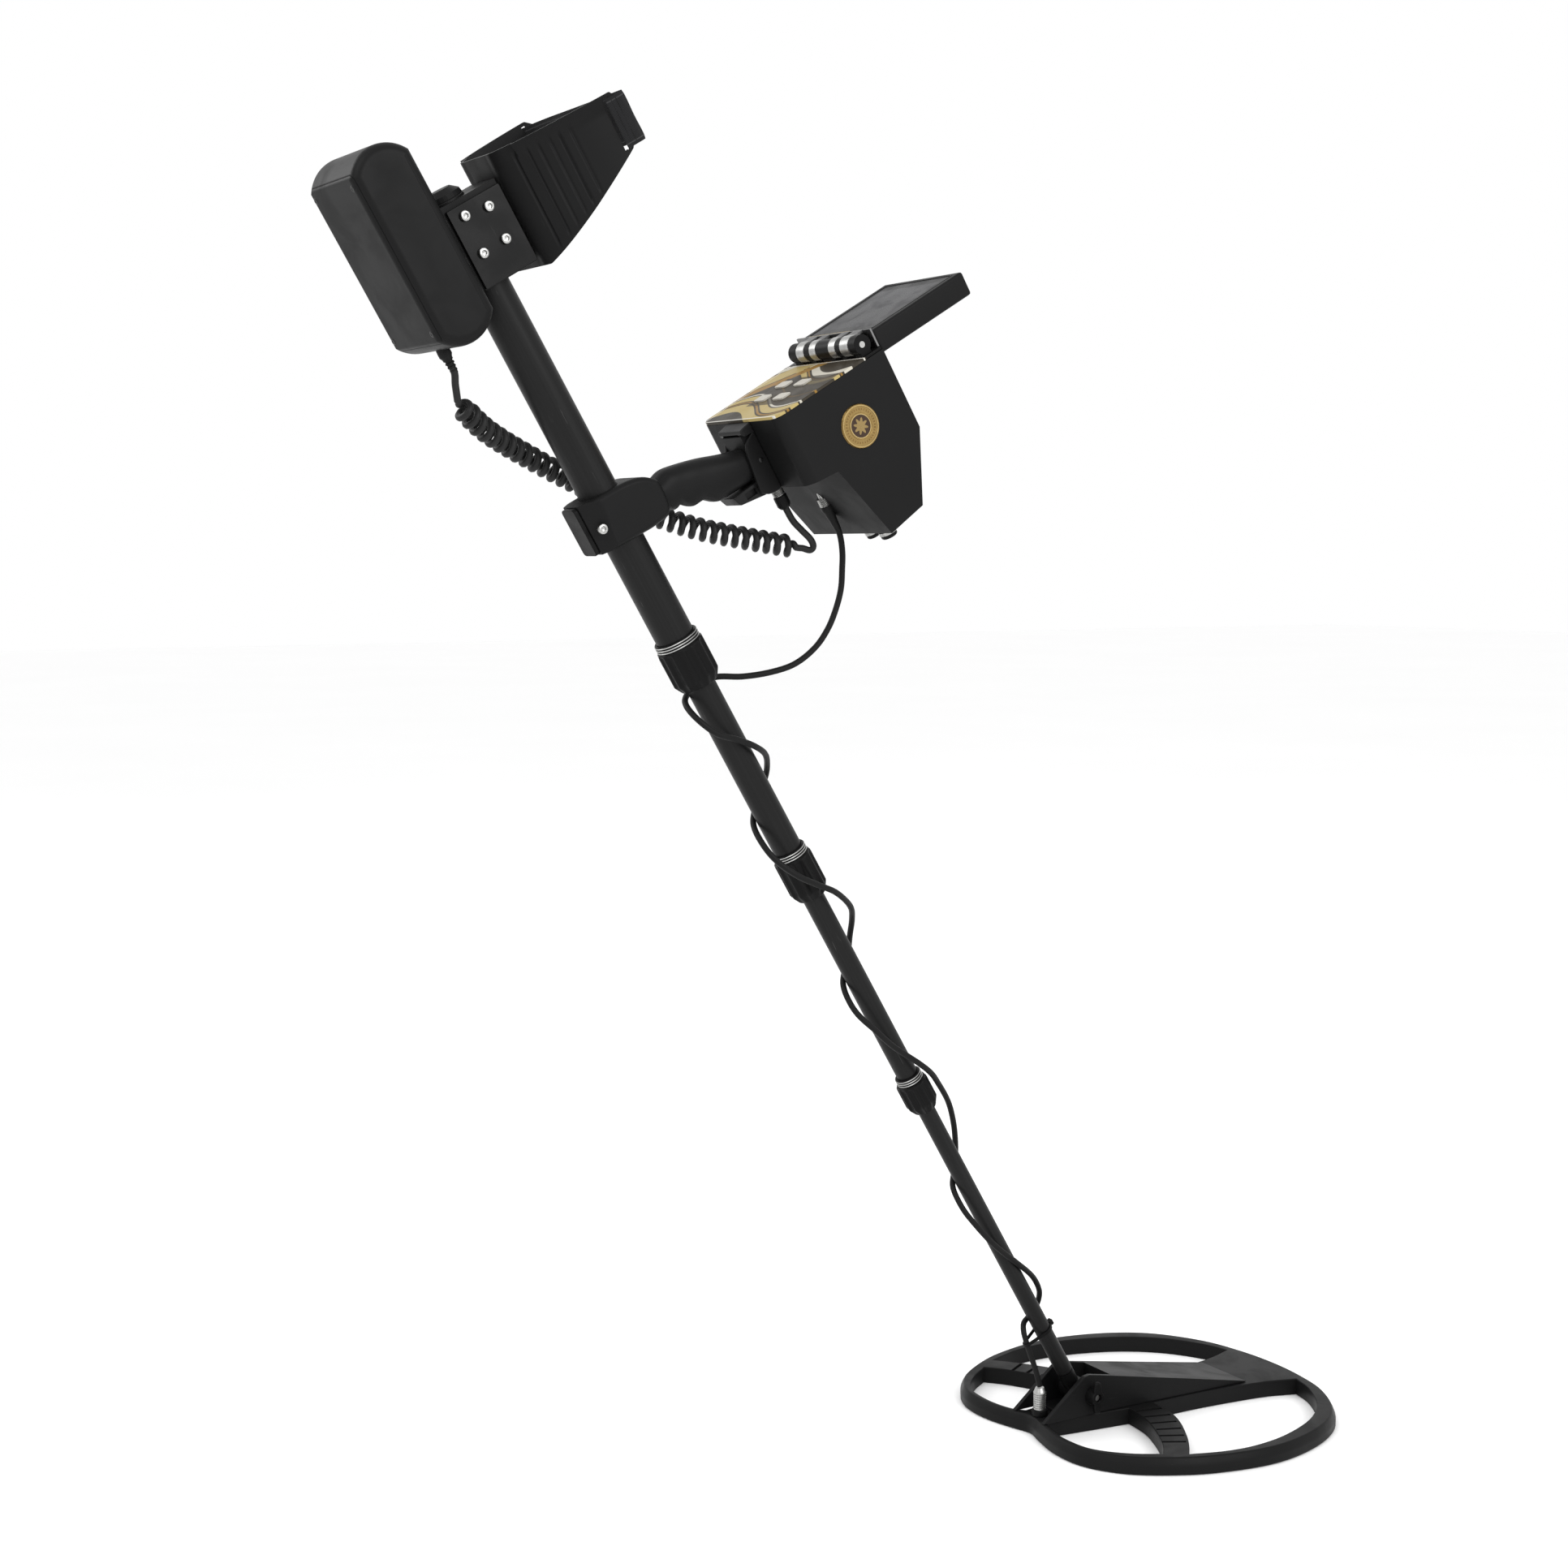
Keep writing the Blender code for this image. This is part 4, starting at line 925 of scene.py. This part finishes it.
def strap():
    """The arm strap, bridging the cuff's wings, with its tail folded over the far wing."""
    band = [(-84.3, 142), (-84.4, 153), (-83.2, 160), (-79, 162.6), (-60, 160.2), (-40, 156.2)]
    band += [(0, 153.2), (40, 151.6), (66, 148.2), (77.5, 143.6), (84.6, 141.6)]
    line = curve_through(band, 10, cyclic=False)
    across = 24
    rings = []
    for n, (y, v) in enumerate(line):
        a, b = Vector(line[max(n - 1, 0)]), Vector(line[min(n + 1, len(line) - 1)])
        normal = Vector((-(b - a).y, (b - a).x)).normalized()
        top, low = [], []
        for k in range(across + 1):
            t = k / across
            u = -8 + STRAP_WIDTH * t
            thick = 0.85 * min(1.0, 8 * min(t, 1 - t) + 0.35)
            ripple = 0.18 * sin(n * 0.55) * sin(t * 9)
            up, down = thick + ripple, thick - ripple
            top.append((u, y + normal.x * up, v + normal.y * up))
            low.append((u, y - normal.x * down, v - normal.y * down))
        rings.append(top + low[::-1])
    made = piece("arm_strap", skin(rings), WEBBING, stands_for="cuff_strap", angle=60)
    for number, v in enumerate((147, 152), 1):
        line = [(-5 + 40 * k / 60, -84.9 - (0.35 if k % 4 < 3 else 0), v) for k in range(61)]
        mesh = hose([Vector(p) for p in line], 0.32, 6)
        piece(f"strap_stitch_{number}", mesh, JACKET)


strap()


# ---------- grip ----------
def interpolated(table, v):
    for (a, v0), (b, v1) in zip(table, table[1:]):
        if v <= v1:
            return a + (b - a) * (v - v0) / (v1 - v0)
    return table[-1][0]


def grip():
    """The two halves of the grip, each a scalloped handle and its part of the clamp."""
    back = [(314, 36), (315, 51), (312, 66), (315, 82), (322, 106), (331, 130), (336, 146.8)]
    front = [(344, 36), (343, 46), (350, 58), (349, 67), (357, 77), (358, 90), (366, 101)]
    front += [(368, 112), (368, 139), (366, 146.8)]
    back = curve_through(back, 8, cyclic=False)
    front = curve_through(front, 8, cyclic=False)
    clamp = [(295, -32, 1), (297, 10), (301, 32), (309, 45), (318, 50), (344, 46), (348, 28)]
    clamp += [(347.5, 10), (344.5, -32, 1)]
    clamp = curve_through(clamp, 6, cyclic=False)
    power = 2 / 2.7  # between a rectangle and an ellipse
    for side, word in ((-1, "right"), (1, "left")):
        rings = []
        for step in range(75):
            v = GRIP_FOOT + GRIP_HEIGHT * step / 74
            low, high = interpolated(back, v), interpolated(front, v)
            middle, half = (low + high) / 2, (high - low) / 2
            depth = GRIP_HALF_DEPTH * (1.0 + 0.03 * sin((v - 60) / 86 * pi))
            ring = []
            for n in range(25):
                c, s = cos(pi * n / 24), sin(pi * n / 24)
                u = middle + copysign(abs(c) ** power, c) * half
                ring.append((u, side * max(abs(s) ** power * depth, 0.2), v))
            rings.append(ring)
        half_node = f"grip_half_{word}"
        piece(f"grip_handle_{word}", skin(rings), PLASTIC, stands_for=half_node, angle=70)
        levels = [(i, side * h) for i, h in round_levels(0.2, 24, 5.0, 6, bottom=False)]
        made = piece(f"grip_clamp_{word}", plate([clamp], levels), PLASTIC, angle=40)
        wedge = [(side * 30, -14), (side * 26, -14), (side * 13, -34), (side * 30, -34)]
        carve(made, plate([wedge], [(0, 280), (0, 360)], "across"))
        carve(made, turned([(270, CLAMP_BORE), (370, CLAMP_BORE)]))


grip()
softened("clamp_rear_cap", PLASTIC_DARK, 0.9)


# ---------- control box ----------
def housing():
    """The control box: soft corners towards the user, a stepped underside and a sloping back."""
    plan = []
    for sign in (1, -1):
        for step in range(11):
            turn = pi / 2 * step / 10
            turn = turn if sign == -1 else pi / 2 - turn
            plan.append((sign * (58 + 12 * sin(turn)), 174 - 12 * cos(turn)))
    plan += [(-70, 297.5), (70, 297.5)]
    mesh = plate([plan], [(0, 315.9), (0, 471)], "across")
    made = piece("control_shell", mesh, PLASTIC, stands_for="control_housing", angle=25)
    under = [(386, 150), (386, 162), (390, 196), (470, 219), (465.05, 262.6), (480, 262.6)]
    under.append((480, 150))
    behind = [(399, 297.5), (465, 263), (465.05, 262), (485, 262), (485, 310), (399, 310)]
    for outline in (under, behind):
        carve(made, plate([outline], [(0, -90), (0, 90)]))
    made.data.set_sharp_from_angle(angle=radians(20))
    rounded(made, 1.8, 4, 22)


housing()
dress(PRINT, "keypad_panel")
dress(BOARD, "circuit_board")
dress(KEY_RUBBER, "key_1", "key_2", "key_3", "key_4")
dress(FOIL, "medallion")


def threads(start, end, radius):
    shape, at = [], start
    while at < end:
        shape += [(at, radius - THREAD_DEPTH), (at + THREAD_PITCH * 0.5, radius)]
        at += THREAD_PITCH
    return shape


def knurled(along, r, turn):
    return r * (1 - 0.045 * (0.5 + 0.5 * cos(turn * 20)) * (r > 6))


def fittings():
    """What the box carries below: two connectors, and two sockets with bright rings."""
    power, coil_exit = (0, 0, POWER_EXIT_V), (0, 0, COIL_EXIT_V)
    shell = [(382, 3.4), (388.2, 3.6), (388.2, 6.0), *threads(388.4, 396, 6.1), (396.6, 5.6)]
    shell.append((397, ON_AXIS))
    turned_piece("power_thread", shell, STEEL, centre=power, stands_for="power_connector")
    nut = [(396.9, 3), (396.9, 6.4), (397.6, 6.8), (406.6, 6.8), (408, 6.2), (410, 4.8)]
    nut += [(410.4, 3.4), (410.4, ON_AXIS)]
    piece("power_nut", turned(nut, "u", power, 60, knurled), PLASTIC_DARK)
    shell = [(415, ON_AXIS), (415, 3.4), (422.5, 3.6), (422.5, 6.2), *threads(423, 430, 6.2)]
    shell += [(430.5, 5.6), (431, 5.9), (434.6, 5.9), (435.4, 5.2), (437, 4.4), (437, 3.2)]
    shell.append((437, ON_AXIS))
    turned_piece("coil_lead_thread", shell, STEEL, centre=coil_exit, stands_for="coil_connector")
    relief = [(430.8, ON_AXIS), (430.8, 6.0), (431.4, 6.35), (435, 6.35), (437.5, 5.4)]
    relief += [(448, 4.0), (458, 3.3), (459, 3.05), (459, ON_AXIS)]
    turned_piece("coil_lead_relief", relief, JACKET, centre=coil_exit)
    for name, y, v, r in (("headphone", -45, 230, 9.2), ("charging", -18, 230, 7.8)):
        face = 470.0 - (v - 219) * 0.1136 + r * 0.12  # the underside slopes
        dark = [(-8, ON_AXIS), (-8, r * 0.55), (0.3, r * 0.55), (0.3, r), (2.2, r)]
        dark += [(2.6, r - 0.8), (6, r - 0.9), (8.6, r - 1.0), (9.6, r - 1.9)]
        dark += [(9.6, r * 0.42), (2, r * 0.40), (2, ON_AXIS)]
        dark = [(face + u, radius) for u, radius in dark]
        node = f"{name}_socket"
        turned_piece(f"{name}_jack", dark, PLASTIC_DARK, centre=(0, y, v), stands_for=node)
        ring = [(2.4, r - 0.2), (5.6, r - 0.2), (5.6, r - 1.6), (2.4, r - 1.6)]
        ring = [(face + u, radius) for u, radius in ring]
        piece(f"{name}_ring", turned(ring, "u", (0, y, v), 40, hollow=True), STEEL)


fittings()


def hood():
    """The hooded boss that takes the front end of the grip: brow, cheeks, open mouth and lip."""
    cheek = [(324, 161.6), (386, 161.6), (385, 147), (379, 139), (340, 144), (330, 149)]
    for word, low, high in (("right", -21, -17.2), ("left", 17.2, 21)):
        piece(f"hood_cheek_{word}", slab(cheek, 3.0, 4, low, high, 1.2), PLASTIC, angle=40)
    root = [(322, 161.6), (386, 161.6), (385, 147.6), (324, 147.6)]
    mesh = plate([corners_rounded(root, 1.0, 2)], [(0, -17.1), (0, 17.1)])
    made = piece("hood_root", mesh, PLASTIC, stands_for="grip_socket", angle=40)
    carve(made, slot_block((318, -13.0, 149.4), (366, 13.0, 158.4)))
    brow = [(315.4, 161.6), (326, 161.6), (325, 150.0), (321.5, 147.4), (317.6, 148.6)]
    made = piece("hood_brow", slab(brow, 1.2, 3, -21.0, 21.0, 1.0), PLASTIC_PAINTED_SHEEN, angle=40)
    carve(made, slot_block((321.5, -14.0, 140.0), (332, 14.0, 158.0)))
    lip = [(369.5, 147.6), (385, 147.6), (383.5, 139), (380, 117.5), (370, 113.2), (369.2, 138)]
    made = piece("hood_lip", slab(lip, 1.4, 3, -14.5, 14.5, 1.2), PLASTIC_PAINTED_SHEEN, angle=40)
    carve(made, slot_block((372.5, -20, 126), (379.0, -10.5, 139)))
    screw = [(-21.6, ON_AXIS), (-21.6, 1.7), (-21.2, 2.3), (-19.2, 2.3), (-19.2, ON_AXIS)]
    turned_piece("hood_screw", screw, BLACK_STEEL, "frame", "y", (352, 0, 154.5), (), 24)


hood()


# ---------- display ----------
softened("hinge_base", PLASTIC_DARK, 0.9, limit=40)
softened("hinge_leaf", LEAF_METAL, 0.4, "display", 2, 40)
dress(STEEL, "hinge_pin")
softened("display_housing", PLASTIC, 0.6, "display", 2, 50)
dress(GLASS, "display_glass")


def display_trim():
    """The bands of hinge metal, the printed strip beside the glass, and the bezel."""
    for number, (low, high) in enumerate(((-53, -38.5), (-30, -18.5), (4.7, 16), (26, 40)), 1):
        shape = [(low + 0.1, 9.3), (low + 0.1, 9.9), (low + 0.6, 10.2), (high - 0.6, 10.2)]
        shape += [(high - 0.1, 9.9), (high - 0.1, 9.3)]
        mesh = turned(shape, "y", (HINGE_U, 0, HINGE_V), hollow=True)
        piece(f"hinge_band_{number}", mesh, STEEL, "display")
    strip = corners_rounded(box_outline((-20, 55), (299.6, 304.4)), 1.6)
    mesh = plate([strip], [(0, 296.9), (0, 296.35), (0.15, 296.2)], "across")
    piece("display_strip", mesh, GOLD_STRIP, "display")
    ring = corners_rounded(box_outline((-58.6, 58.6), (304.0, 412.0)), 3.5)
    hole = corners_rounded(box_outline((-56.8, 56.8), (305.7, 410.3)), 2.5)
    mesh = plate([ring, hole], round_levels(296.1, 298.2, 0.5, 2), "across")
    piece("display_bezel", mesh, PLASTIC_PAINTED_SHEEN, "display")


display_trim()


# ---------- search coil ----------
RIM = [(15, 0), (9, 22), (2, 50), (0, 75), (3, 100), (14, 124), (35, 149), (72, 173)]
RIM += [(110, 189), (165, 200), (215, 197), (270, 179), (312, 149), (344, 99), (357, 49), (361, 0)]
REAR_HOLE = [(25, 20, 1), (16, 32), (10.5, 55), (10, 80), (14, 102), (26, 121), (45, 139)]
REAR_HOLE += [(68, 154, 1), (84, 135), (102.5, 103), (118, 66), (123, 33, 1), (75, 27)]
FRONT_HOLE = [(91, 168.5, 1), (130, 181), (167, 184.5), (213, 178), (265, 158), (305, 127)]
FRONT_HOLE += [(331, 88), (341, 57, 1), (300, 45), (225, 36.5), (157, 34, 1), (153.4, 67)]
FRONT_HOLE += [(142.4, 95), (123, 127.5), (107, 149.5)]
# The middles of the grooves across each arm, from near the spine to near the rim.
ARM_GROOVES = [((121, 44), (155, 52)), ((117.5, 62), (150.5, 72)), ((111.5, 80), (143, 91))]
ARM_GROOVES += [((104.5, 97), (133.5, 109)), ((96, 112.5), (122.5, 126.5))]
ARM_GROOVES += [((87, 127.5), (112, 142))]


def mirrored(points):
    return [(p[0], -p[1], *p[2:]) for p in points][::-1]


def groove_cutter():
    """A square bar for every groove of both arms, in one mesh."""
    cutter = bmesh.new()
    for (x0, y0), (x1, y1) in ARM_GROOVES:
        for sign in (1, -1):
            a, b = Vector((x0, sign * y0)), Vector((x1, sign * y1))
            a, b = a.lerp(b, 0.07), b.lerp(a, 0.07)
            ahead = (b - a).normalized()
            over = Vector((-ahead.y, ahead.x)) * 2.0
            ring = [a - over, b - over, b + over, a + over]
            low = [cutter.verts.new((p.x, p.y, 15.2)) for p in ring]
            high = [cutter.verts.new((p.x, p.y, 19.5)) for p in ring]
            cutter.faces.new(low)
            cutter.faces.new(high)
            for n in range(4):
                m = (n + 1) % 4
                cutter.faces.new((low[n], low[m], high[m], high[n]))
    mesh = bpy.data.meshes.new("grooves")
    cutter.to_mesh(mesh)
    cutter.free()
    return mesh


def coil():
    loops = [curve_through(RIM + mirrored(RIM)[1:-1])]
    for hole in (REAR_HOLE, FRONT_HOLE):
        loops += [curve_through(hole, 5), curve_through(mirrored(hole), 5)]
    levels = [(2.2, 0), (0.8, 0.5), (0.1, 1.6), (0, 3.0), (0, 8.5), (0.3, 10.2), (1.2, 12.6)]
    levels += [(2.6, 15.4), (3.4, 16.8), (4.3, 17.7), (5.4, 18.0)]
    hole_levels = [(0.9, 0), (0.3, 0.3), (0, 1.0), (0, 16.9), (0.3, 17.6), (1.0, 18.0)]
    mesh = plate(loops, levels, "level", hole_levels)
    made = piece("coil_body", mesh, COIL_PLASTIC, "coil", "coil_shell", COIL, 40)
    carve(made, groove_cutter(), COIL)
    softened("coil_yoke", COIL_PLASTIC, 0.9, "coil", limit=25)


coil()


def pivot():
    """The pivot bolt, and the wing nut with its two wings."""
    x, z = PIVOT
    shank = [(-35.6, ON_AXIS), (-35.6, 3.4), (-34.8, 3.8), (27.8, 3.8), (27.8, 8.2), (28.4, 8.6)]
    shank += [(32.6, 8.6), (33.4, 7.6), (33.4, 3.4), (31.6, 3.2), (31.6, ON_AXIS)]
    turned_piece("pivot_pin", shank, STEEL, "coil", "y", (x, 0, z), "pivot_bolt", 36, COIL)
    hub = [(-27.9, 4.3), (-27.9, 9.3), (-29.0, 9.5), (-31.5, 8.8), (-37.6, 8.0), (-38.8, 7.0)]
    hub.append((-38.8, 4.3))
    mesh = turned(hub, "y", (x, 0, z), 40, hollow=True)
    piece("wing_hub", mesh, PLASTIC_DARK, "wing_nut_body", "pivot_wing_nut", COIL)
    for sign, word in ((-1, "low"), (1, "high")):
        wing = [(-4.6, 5), (4.6, 5), (4.4, 12), (3.2, 16), (0, 17.4), (-3.2, 16), (-4.4, 12)]
        ring = curve_through([(x + a, z + sign * b) for a, b in wing], 4)
        mesh = plate([ring], round_levels(-38.6, -33.6, 1.6))
        piece(f"wing_{word}", mesh, PLASTIC_DARK, "wing_nut_body", place=COIL)


pivot()
softened("lower_lug", PLASTIC_DARK, 0.6, "lower_section", 2, 40)


def ribbed(along, r, turn):
    if r > 6.2 and PLUG_Z + 8 < along < PLUG_Z + 24:
        return r - 0.35 * (0.5 + 0.5 * cos(turn * 18))
    return r


def coil_plug():
    """The coil's plug: a black base and a ribbed metal shell, upright behind the yoke."""
    foot, centre = PLUG_Z + 6.2, (PLUG_X, 0, 0)
    black = [(PLUG_Z, ON_AXIS), (PLUG_Z, 8.3), (PLUG_Z + 0.5, 8.7), (PLUG_Z + 5.4, 8.7)]
    black += [(foot, 8.0), (foot, ON_AXIS)]
    turned_piece("coil_plug_base", black, PLASTIC_DARK, "coil", "v", centre, place=COIL)
    shell = [(foot, ON_AXIS), (foot, 6.2), (PLUG_Z + 6.8, 6.8)]
    for n in range(7):
        at = PLUG_Z + 8.2 + n * 2.4
        shell += [(at, 6.8), (at + 0.3, 5.9), (at + 1.2, 5.9), (at + 1.5, 6.8)]
    shell += [(PLUG_Z + 25, 6.8), (PLUG_Z + 26, 6.2), (PLUG_Z + 30, 4.5), (PLUG_Z + 30, ON_AXIS)]
    mesh = turned(shell, "v", centre, 72, ribbed)
    piece("coil_plug_shell", mesh, STEEL, "coil", "coil_plug", COIL)


coil_plug()


# ---------- cords ----------
# Routes in millimetres in the shaft frame.
COIL_ROUTE = [
    (437.3, 0, 207), (449, 0, 208), (465, 0, 206), (480, 0, 200), (493, 0, 192), (509, 0, 181),
    (523, 0, 166), (535, 0, 148), (543, 0, 126), (545, 2, 100), (539, 6, 75), (528, 12, 49),
    (516, 20, 29), (512, 25, 13), (512, 21, -4), (513, 4, -21), (524, -18, -28), (546, -25, -20),
    (564, -24, -3), (582, -19, 12), (602, 0, 26), (621, 18, 29), (633, 24, 22), (642, 22, 10),
    (650, 19, -4), (658, 8, -17), (672, -12, -26), (690, -21, -25), (712, -28, -16),
    (732, -28, -2), (753, -22, 14), (781, -6, 28), (801, 10, 31), (821, 22, 25), (836, 20, 12),
    (844, 16, 0), (852, 9, -12), (863, -3, -20), (877, -14, -23), (900, -20, -17), (925, -22, -9),
    (958, -22, 7), (978, -17, 16), (997, -8, 22), (1029, 4, 28), (1057, 12, 26), (1081, 17, 19),
    (1096, 16, 9), (1105, 14, 0), (1113, 6, -12), (1130, -7, -19), (1150, -13, -18),
    (1175, -15, -13), (1197, -15, -6), (1219, -13, 3), (1251, -4, 16), (1275, 4, 20),
    (1288, 9, 17), (1296, 12, 9), (1299, 12.5, -2), (1297, 7, -13), (1301, 1, -20.5),
    (1311, 0, -23.5), (1325, 0, -26), (1340, 0, -28.4),
]
CABLE_SPLITS = (655, 856, 1108)  # where the cable passes from one length to the next
CABLE_BENDS = ((0.470, 0.655), (0.668, 0.856), (0.870, 1.108))  # in metres along the shaft
GLAND_LEAD = [
    (130.5, 0, -68), (138, 0, -68.8), (146, 1, -72.5), (153, 2, -75), (159, 3, -77),
]
CURL_ROUTE = [
    (161, 3.5, -77), (176, 9, -72), (196, 18, -62), (218, 28, -47), (244, 36, -28), (272, 40, -8),
    (300, 42.5, 13), (332, 41, 38), (360, 35, 62), (388, 27, 88), (418, 18, 122), (440, 11, 148),
    (452, 7, 162),
]
CONNECTOR_LEAD = [
    (455, 5.5, 166), (460, 3, 171), (458, 1, 175), (450, 0, 175), (438, 0, 171), (425, 0, 167),
    (410.4, 0, 166.2),
]


def in_row_frame(route):
    return [shaft_point(u * MM, y * MM, v * MM) for u, y, v in route]


def shaft_u(point):
    return GRIP_POINT[0] + point.x * cos(PITCH) - point.z * sin(PITCH)


def coil_cable():
    """The coil's cable, in four lengths, one for each section of the shaft."""
    top = Vector((COIL_HEEL_X + 0.0285, 0, FLOOR_Z + 0.0497))
    route = in_row_frame(COIL_ROUTE) + [top + Vector((-0.0035, 0, 0.0110)), top]
    route = smooth_route(route, 421)
    cuts = [next(n for n, p in enumerate(route) if shaft_u(p) > u * MM) for u in CABLE_SPLITS]
    cuts = [0, *cuts, len(route) - 1]
    spans = [(shaft_point(a, 0, 0), shaft_point(b, 0, 0)) for a, b in CABLE_BENDS]
    spans.append((shaft_point(1.335, 0, -0.028), top))
    for number, name in enumerate(("upper", "second", "third", "lower")):
        path = route[cuts[number] : cuts[number + 1] + 1]
        node, mesh = f"coil_cable_{name}", hose(path, CABLE_R, 14)
        made = piece(f"coil_lead_{name}", mesh, JACKET, None, node, None, 60)
        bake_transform(made)


coil_cable()


def curled_cord():
    """The power lead: one smooth line, wound into a curl between its straight ends."""
    points = 860
    line = smooth_route(in_row_frame(GLAND_LEAD + CURL_ROUTE + CONNECTOR_LEAD), points)
    head, tail = in_row_frame([CURL_ROUTE[0], CURL_ROUTE[-1]])
    first = min(range(points), key=lambda n: (line[n] - head).length)
    final = min(range(points), key=lambda n: (line[n] - tail).length)
    route = []
    for n, (at, side, over) in enumerate(travelled(line)):
        share = (n - first) / (final - first)
        angle = tau * CURL_TURNS * share
        ramp = max(0.0, min(1.0, share * CURL_TURNS, (1 - share) * CURL_TURNS))
        reach = CURL_REACH * ramp * ramp * (3 - 2 * ramp)
        route.append(at + side * reach * cos(angle) + over * reach * sin(angle))
    nodes = ("power_cord_gland_lead", "power_cord_curl", "power_cord_connector_lead")
    mesh = hose(route, LEAD_R, 10)
    piece("power_lead", mesh, CURL_JACKET, "frame", nodes, None, 70)
    relief = [(112, ON_AXIS), (112, 5.8), (116.9, 6.2), (120.6, 6.2), (121.6, 5.6), (123, 4.9)]
    for n in range(4):
        at, rib, neck = 124 + n * 3.4, 4.7 - n * 0.35, 3.7 - n * 0.2
        relief += [(at, rib), (at + 1.2, rib), (at + 1.5, neck), (at + 2.8, 3.6 - n * 0.2)]
    relief += [(138, 2.95), (138, ON_AXIS)]
    centre = (0, 0, GLAND_V)
    turned_piece("power_lead_relief", relief, JACKET, centre=centre, stands_for="battery_gland")


curled_cord()


def cable_tie():
    """A nylon tie holding the coil's cable to the lowest tube."""
    rings = []
    count, tube_r, cable_v, cable_r = 56, 9.2, -23.7, 3.1
    for n in range(count):
        turn = tau * n / count
        ahead = (cos(turn), sin(turn))
        near_tube = tube_r > cable_v * ahead[1] + cable_r
        centre, r = ((0, 0), tube_r) if near_tube else ((0, cable_v), cable_r)
        inner = (centre[0] + r * ahead[0], centre[1] + r * ahead[1])
        outer = (inner[0] + 1.3 * ahead[0], inner[1] + 1.3 * ahead[1])
        rings.append([(1311.8, *inner), (1311.8, *outer), (1315.2, *outer), (1315.2, *inner)])
    mesh = skin(rings, cyclic=True)
    piece("cable_tie_band", mesh, PLASTIC_DARK, "lower_section", angle=30)
    head = slab(box_outline((1310.4, 1316.6), (8.8, 14.0)), 1.0, 4, -3.0, 3.0, 0.8)
    piece("cable_tie_head", head, PLASTIC_DARK, "lower_section")


cable_tie()
camera()
studio()
